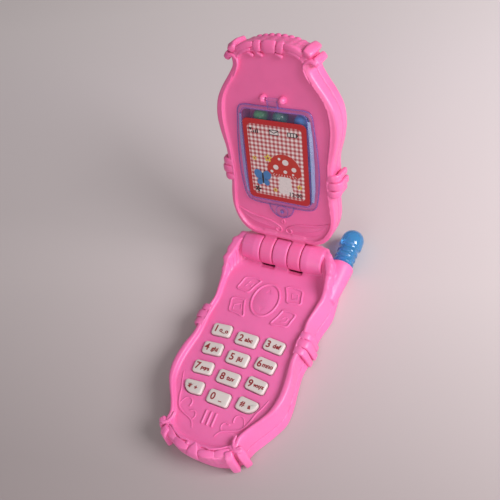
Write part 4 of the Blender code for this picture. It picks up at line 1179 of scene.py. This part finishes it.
def candy_cover():
    cover = eased(flange, -0.3, 0.25, 0.16).object()
    skirt = window(15.7, 20.2, 3.0, 45.5)
    box = lambda o: window(13.9 + o, 19.7 + o, 2.4 + o)
    tab = [Vector(p) for p in half_turn(5.5, 5.6, 23.6) + [(-5.5, 24.8), (5.5, 24.8)]]
    tab_middle = [Vector((0, 23.0))] * len(tab)
    pivot = COVER_PIVOT[0]
    tongue, barrel, pin = Kit(on_lid), Kit(on_lid), Kit(on_lid)
    tongue.across(((65.6, -0.12), (pivot, -0.12), (pivot, 0.95), (65.6, 0.95)), -2.1, 2.1)
    barrel.rod(0.72, -2.1, 2.1, COVER_PIVOT, 18)
    pin.rod(0.5, -4.6, 4.6, COVER_PIVOT, 18)
    for added in (
        lofted(on_lid, [(0.0, skirt), (0.3, skirt), (0.78, box(0.05)), (0.90, box(-0.14)),
                        (0.95, box(-0.38))]),
        eased(lambda o: away(tab, tab_middle, o), -0.24, 0.21, 0.14),
        tongue, barrel, pin,
    ):
        carve(cover, added, "UNION", "EXACT")
    room = window(13.1, 18.9, 1.7, steps=5)
    dimple = Kit(on_lid)
    dimple.ball((0, 20.9, 2.0), (2.3, 2.3, 2.05))
    for cut in (
        lofted(on_lid, [(-1.0, room), (0.12, room), (0.25, window(12.97, 18.77, 1.6, steps=5))]),
        dimple,
    ):
        carve(cover, cut, solver="EXACT")
    finish(cover, "candy_cover_clear", "clear_violet", "candy_cover", "candy_cover", sharp=32)


def cover_edges():
    """The cover's tinted edges, where the dye gathers: flange, window, tab and its press mark."""
    kit = Kit(on_lid)
    kit.loop([(x, v, 0.05) for x, v in flange(-0.15)], 0.21)
    kit.loop([(x, v, 0.80) for x, v in window(13.85, 19.65, 2.4)], 0.15)
    kit.tube([(x, v, 0.02) for x, v in half_turn(5.4, 5.5, 23.6)], 0.2, 8)
    kit.loop([(x, v, 0.14) for x, v in disc(2.7, (0, 20.9), 28)], 0.13, 8)
    kit.ball((0, 20.7, 0.1), (0.85, 0.85, 0.3))
    for x in (-2.1, 2.1):
        kit.tube([(x, 66.2, 0.5), (x, 69.2, 0.9)], 0.16, 8)
    finish(kit.object(), "candy_cover_edges", "clear_edge", "candy_cover", slot="clear_violet")


def cover_walls():
    """The window's two side walls as pale straps: a painted glint along each wall."""
    kit = Kit(on_lid)
    wall = ((14.5, 28.4), (15.0, 34), (15.1, 45), (14.9, 56), (14.4, 62.6))
    for _ in kit.sides():
        kit.strap([(x, v, 0.62) for x, v in wall], [0.55, 0.75, 0.8, 0.75, 0.55], 0.16,
                  (0.94, 0, -0.34))
    finish(kit.object(), "candy_cover_glint_walls", "painted_glint_film", "candy_cover", slot="clear_violet")


def glyphs(text, size, x, v, n, thickness, place, bold):
    """Filled letters as a flat mesh; the reader's up is v on the lid and -v on the base."""
    curve = bpy.data.curves.new("glyphs", "FONT")
    curve.body = text
    curve.size = size
    curve.offset = bold
    curve.align_x = curve.align_y = "CENTER"
    curve.extrude = thickness / 2
    curve.resolution_u = 3
    obj = linked("glyphs", curve)
    mesh = evaluated(obj)
    bpy.data.objects.remove(obj)
    for vert in mesh.vertices:
        p = vert.co
        vert.co = place((x + p.x, v + p.y if place is on_lid else v - p.y, n + p.z)) * MM
    return mesh


def box(x0, v0, x1, v1):
    return [(x0, v0), (x1, v0), (x1, v1), (x0, v1)]


def blossom(cx, cv, reach, petal, start, n0, n1):
    """Five oval petals, each a little higher than the last so that none share a plane."""
    found = []
    for j in range(5):
        a = 2 * math.pi * j / 5 + start
        spot = (cx + reach * math.cos(a), cv + reach * math.sin(a))
        found.append((oval(*spot, *petal, 14, math.degrees(a)), n0, n1 + 0.002 * j))
    return found


def picture_card():
    """Card with a gingham field, a red border, and a plain toadstool, butterfly and icons."""
    rim = lambda o: window(13.44 + o, 17.4 + o, 2.2 + min(0.0, o), 44.0)
    plate = lofted(on_lid, [(1.0, rim(-0.03)), (1.02, rim(0)), (1.17, rim(0)), (1.2, rim(-0.04))])
    layers = [(plate.mesh("card"), "card_red")]

    def add(look, solids):
        layers.append((prisms(on_lid, *solids).mesh("card"), look))

    add("card_gingham", [(window(11.6, 15.4, 1.9, 44.0), 1.1, 1.215)])
    cap_x, fly_x, fly_v, top = 3.2, -6.6, 36.0, 56.6
    under = [(-2.8, 38.5), (0.0, 38.0), (cap_x, 38.2), (6.4, 38.0), (9.2, 38.5)]
    add("card_motif_red", [(arc(cap_x, 39.8, 7.4, 8.2, 0, 180, 20) + under, 1.2, 1.24)])
    stem = ((-2.6, 30.4), (2.8, 30.4), (3.4, 32.0), (2.6, 35.0), (2.3, 40.6), (-2.4, 40.6),
            (-2.6, 35.0), (-3.2, 32.0))
    add("card_white", [([(x + cap_x, v) for x, v in stem], 1.2, 1.235)])
    add("card_white", [(oval(x, v, r, r * 0.92), 1.23, 1.25) for x, v, r in (
        (-0.4, 42.0, 1.15), (3.9, 44.6, 1.35), (7.4, 42.0, 1.05), (3.6, 40.5, 0.8),
        (-2.3, 40.0, 0.65), (1.3, 45.8, 0.6), (6.9, 39.8, 0.5))])
    add("card_white", [([(cap_x + i * by + half, v) for by, half, v in (
        (1.3, -0.12, 38.3), (1.3, 0.12, 38.3), (1.1, 0.12, 39.1), (1.1, -0.12, 39.1))],
        1.235, 1.25) for i in range(-4, 5)])
    add("card_blue", [(oval(fly_x + side * out, v, rx, rv, 24, side * turn), 1.2, 1.235)
                      for side in (1, -1)
                      for out, v, rx, rv, turn in ((1.9, 37.6, 1.8, 2.3, -28),
                                                   (1.45, 34.4, 1.3, 1.6, 24))])
    feelers = [([(fly_x, 38.3), (fly_x + side * 1.1, 40.1), (fly_x + side * 1.28, 40.0),
                 (-6.5, 38.2)][::side], 1.21, 1.245) for side in (1, -1)]
    add("card_black", [(oval(fly_x, fly_v, 0.42, 2.5), 1.23, 1.25)] + feelers
        + blossom(-9.3, 30.9, 0.85, (0.62, 0.42), 0.0, 1.22, 1.24))
    flowers = ((-3.6, 45.4, 1.0), (9.4, 34.6, 0.7), (-9.6, 44.6, 0.6), (-1.4, 31.6, 0.6))
    add("card_yellow", [petal for x, v, r in flowers
                        for petal in blossom(x, v, r, (r * 0.7, r * 0.46), 0.3, 1.2, 1.235)])
    add("card_plum", [(oval(x, v, r * 0.5, r * 0.5, 14), 1.24, 1.255) for x, v, r in flowers])
    signal = [(-9.9 + i * 0.85, top - 0.6 + i * 0.5) for i in range(4)]
    add("card_black", [(box(x, top - 1.0, x + 0.5, high), 1.2, 1.24) for x, high in signal] + [
        ([(-10.9, top + 1.1), (-9.3, top + 1.1), (-10.1, top - 0.1)], 1.2, 1.24),
        (box(-2.1, top - 1.0, 1.9, top + 1.2), 1.2, 1.235),
        (box(5.6, top - 0.9, 9.6, top + 1.0), 1.2, 1.235),
        (box(9.6, top - 0.35, 10.05, top + 0.45), 1.2, 1.235),
    ])
    add("card_white", [
        ([(-1.8, top - 0.7), (1.6, top - 0.7), (1.6, top + 0.55), (-0.1, top - 0.3),
          (-1.8, top + 0.55)], 1.23, 1.245),
        ([(-0.1, top + 0.05), (1.4, top + 0.9), (-1.6, top + 0.9)], 1.23, 1.245),
    ] + [(box(x, top - 0.6, x + 0.8, top + 0.7), 1.23, 1.245)
         for x in (5.95 + i * 1.2 for i in range(3))])
    layers.append((glyphs("12:00", 2.7, 7.4, 30.6, 1.235, 0.03, on_lid, 0.05), "card_black"))
    merged(layers, "picture_card_print", "candy_cover", "picture_card")


def lumpy_ball(centre, radius, seed):
    """A pressed sweet: slightly out of round, with a soft belt where its two halves met."""
    draw = random.Random(seed)
    waves = []
    for _ in range(5):
        way = Vector([draw.uniform(-1, 1) for _ in range(3)]).normalized()
        waves.append((way, draw.uniform(2, 4.5), draw.uniform(0, 6.3)))
    bm = bmesh.new()
    bmesh.ops.create_icosphere(bm, subdivisions=5, radius=1)
    tilt = Vector((draw.uniform(-1, 1), draw.uniform(-1, 1), draw.uniform(0.4, 1))).normalized()
    for vert in bm.verts:
        p = vert.co.copy()
        bump = sum(math.sin(f * p.dot(w) + s) for w, f, s in waves) * 0.008
        belt = -0.02 * math.exp(-((p.dot(tilt) / 0.05) ** 2))
        vert.co = (Vector(centre) + p * radius * (0.985 + bump + belt)) * MM
    mesh = bpy.data.meshes.new("sweet")
    bm.to_mesh(mesh)
    bm.free()
    return mesh


def candies():
    tints = ("green", "mint", "blue", "orange", "yellow", "pink")
    for i in range(9):
        node = f"candy_{i + 1}"
        low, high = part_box(node)
        sweet = linked("sweet", lumpy_ball((low + high) / 2 / MM, 3.12, 40 + i))
        finish(sweet, f"sweet_{i + 1}", "candy_" + tints[i % len(tints)], "lid", node)


# ------------------------------------------------------------------ keys
KEYS = (
    (("key_1", "1", "o_o"), ("key_2", "2", "abc"), ("key_3", "3", "def")),
    (("key_4", "4", "ghi"), ("key_5", "5", "jkl"), ("key_6", "6", "mno")),
    (("key_7", "7", "pqrs"), ("key_8", "8", "tuv"), ("key_9", "9", "wxyz")),
    (("key_star", "*", "+"), ("key_0", "0", "_"), ("key_hash", "#", "a")),
)
SIGN_PLACES = {"*": (-1.3, 0.9, 4.2), "#": (-1.7, 0.0, 3.0)}  # (x, v, size) from the key's middle
DIGIT_PLACE = (-2.3, 0.2, 4.1)


def key_cap(row, column):
    name, digit, letters = KEYS[row][column]
    x, v, _ = key_place(row, column)
    collar, ring = key_ring(row, column, 0.8), key_ring(row, column)
    centre = Vector((x, v))
    rings = [(7.5, collar), (8.3, collar), (8.3, ring), (10.45, ring)]
    for height, amount in ((10.72, 0.06), (10.92, 0.2), (11.04, 0.42), (11.1, 0.8), (11.12, 1.7),
                           (11.12, 2.3)):
        rings.append((height, [p + (centre - p).normalized() * amount for p in ring]))
    body = lofted(on_base, rings).mesh("cap")
    body.shade_smooth()
    body.set_sharp_from_angle(angle=math.radians(50))
    ink_z, ink = 11.135, 0.05
    dx, dv, size = SIGN_PLACES.get(digit, DIGIT_PLACE)
    small = 2.55 if len(letters) < 4 else 2.1
    layers = [
        (body, "key_white"),
        (glyphs(digit, size, x + dx, v + dv, ink_z, ink, on_base, 0.09), "key_ink"),
        (glyphs(letters, small, x + 1.35, v + 0.3, ink_z, ink, on_base, 0.1), "key_ink"),
    ]
    merged(layers, name + "_cap", name, name)


# ------------------------------------------------------------------ antenna and screws
def antenna():
    profile = [(2.2, 6.5), (2.2, 0.05), (4.2, 0.0), (4.25, 0.3), (4.25, 3.4)]
    for rib in (4.0 + i * 2.6 for i in range(3)):
        profile += [(4.12, rib - 0.35), (4.42, rib - 0.08), (4.5, rib + 0.3), (4.5, rib + 0.9),
                    (4.42, rib + 1.25), (4.1, rib + 1.55)]
    profile += [(4.1, 12.0), (4.3, 12.4), (4.75, 12.7), (4.93, 13.1)]
    for a in (math.pi / 2 * k / 12 for k in range(13)):
        profile.append((4.95 * math.cos(a), 16.15 + 4.95 * math.sin(a)))
    kit = Kit(Vector)
    kit.spun([(0.9 + h, max(r, POINT_R)) for r, h in profile], 56)
    finish(kit.object(), "antenna_tip_clear", "antenna_blue", "base", "antenna_tip", sharp=45)


def pan_screw(node, centre, axis, body, head, length):
    """Pan-head self-tapping screw: crossed recess, and a thread cut as stepped rings."""
    profile = [(0, 0), (1.2, 0.0), (1.55, 0.12), (1.75, 0.35), (1.8, head), (0.8, head + 0.05)]
    h = head + 0.3
    while h < length - 0.9:
        profile += [(0.62, h), (0.75, h + 0.18), (0.62, h + 0.36)]
        h += 0.42
    profile += [(0.5, length - 0.6), (0.03, length)]
    turn = axis.to_track_quat("Z", "Y").to_matrix()
    place = lambda p: centre + turn @ Vector(p)
    screw = lofted(place, [(h, circle(max(r, POINT_R), 28)) for r, h in profile]).object()
    for angle in (17, 107):
        spin = Matrix.Rotation(math.radians(angle), 3, "Z")
        bar = [(h, box(-w, -0.22, w, 0.22)) for h, w in ((-0.2, 1.05), (0.38, 0.75))]
        carve(screw, lofted(lambda p: place(spin @ Vector(p)), bar), solver="EXACT")
    finish(screw, node + "_fine", "steel", body, node, sharp=35)


def screws():
    up = Vector((0, 0, 1))
    for i, (x, v) in enumerate(CASE_SCREWS):
        pan_screw(f"case_screw_{i + 1}", on_base((x, v, 1.0)), up, "base", 1.1, 6.6)
    pan_screw("battery_door_screw", on_base((*DOOR_SCREW, 0.05)), up, "base", 0.5, 5.15)
    for i, (x, v) in enumerate(LID_SCREWS):
        pan_screw(f"lid_screw_{i + 1}", on_lid((x, v, -8.6)), LID_N, "lid", 1.1, 5.4)


def finish_cad_nodes():
    """The inner parts keep their CAD shapes and take the detailed materials by slot name."""
    by_slot = {"rubber": "mat_rubber", "card_print": "card_red"}
    for name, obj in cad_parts.items():
        for slot in obj.material_slots:
            key = slot.material.name.split(".")[0] if slot.material else ""
            found = MATS.get(by_slot.get(key, key))
            if found is None:
                print("no material for", name, key)
                continue
            slot.material = found


# ------------------------------------------------------------------ stage
def floor():
    size = 3.0
    mesh = bpy.data.meshes.new("floor")
    mesh.from_pydata([(x, y, 0) for x, y in box(-size, -size, size, size)], [], [(0, 1, 2, 3)])
    look = Look("floor_paper_painted_falloff", Roughness=0.75)
    # Painted shade: the floor's colour darkens towards the camera and lightens away from it,
    # standing in for the lamp's falloff. The faint noise adds uneven tone.
    away_from_lens = (-0.25, 1.0, 0.0)
    painted_falloff = look.node("VectorMath", look.place(), away_from_lens, operation="DOT_PRODUCT")["Value"]
    total = look.node("Math", look.noise(3.0), 0.02, painted_falloff, operation="MULTIPLY_ADD")[0]
    shade = look.node("MapRange", Value=total, From_Min=-0.12, From_Max=0.22)["Result"]
    look.skin(Base_Color=look.ramp(
        shade, (0.0, (0.40, 0.345, 0.345)), (0.1, (0.44, 0.385, 0.385)),
        (0.36, (0.66, 0.59, 0.59)), (0.78, (0.84, 0.76, 0.77)), (1.0, (0.92, 0.84, 0.84)),
    ))
    mesh.materials.append(look.mat)
    linked("floor", mesh)


def area_light(name, place, size, power, colour):
    data = bpy.data.lights.new(name, "AREA")
    data.shape = "DISK"
    data.size = size
    data.energy = power
    data.color = colour
    obj = linked(name, data)
    obj.location = place
    target = Vector((0, -0.035, 0.02))
    obj.rotation_euler = (target - Vector(place)).to_track_quat("-Z", "Y").to_euler()


def camera():
    az, el, roll = math.radians(45.383), math.radians(51.564), math.radians(-25.022)
    back = Vector((math.sin(az) * math.cos(el), -math.cos(az) * math.cos(el), math.sin(el)))
    right = Vector((math.cos(az), math.sin(az), 0))
    up = back.cross(right)
    r0 = right * math.cos(roll) + up * math.sin(roll)
    r1 = -right * math.sin(roll) + up * math.cos(roll)
    data = bpy.data.cameras.new("photo_view")
    data.lens = 46.48
    data.sensor_width = 36
    data.clip_start = 0.01
    obj = linked("photo_view", data)
    stand = Matrix.Translation((0.108854, -0.126025, 0.234464))
    obj.matrix_world = stand @ Matrix((r0, r1, back)).transposed().to_4x4()
    bpy.context.scene.camera = obj


def studio():
    floor()
    area_light("key", (0.40, 0.02, 0.29), 0.26, 2.3, (1.0, 0.965, 0.985))
    area_light("fill", (0.14, -0.50, 0.18), 0.45, 1.0, (1.0, 0.97, 0.99))
    world = bpy.data.worlds.new("studio")
    world.use_nodes = True
    sky = world.node_tree.nodes["Background"]
    sky.inputs["Color"].default_value = (1.0, 0.97, 0.96, 1)
    sky.inputs["Strength"].default_value = 0.28
    bpy.context.scene.world = world
    bpy.context.scene.view_settings.view_transform = "Standard"


finish_cad_nodes()
base_shells()
base_back()
base_relief()
ribbons("base_ribbons", on_base, "pink_body", "base", (21.0, 25.2, BASE_TOP, 1.5, 1.1),
        foot_ribbons)
battery_door()
lid_shells()
lid_back()
ribbons("lid_ribbons", on_lid, "pink_lid", "lid", (20.7, 25.1, LID_TOP + 0.01, -7.9, 0.3),
        crown_ribbons)
lid_relief()
candy_cover()
cover_edges()
cover_walls()
picture_card()
candies()
for row in range(4):
    for column in range(3):
        key_cap(row, column)
antenna()
screws()
studio()
camera()
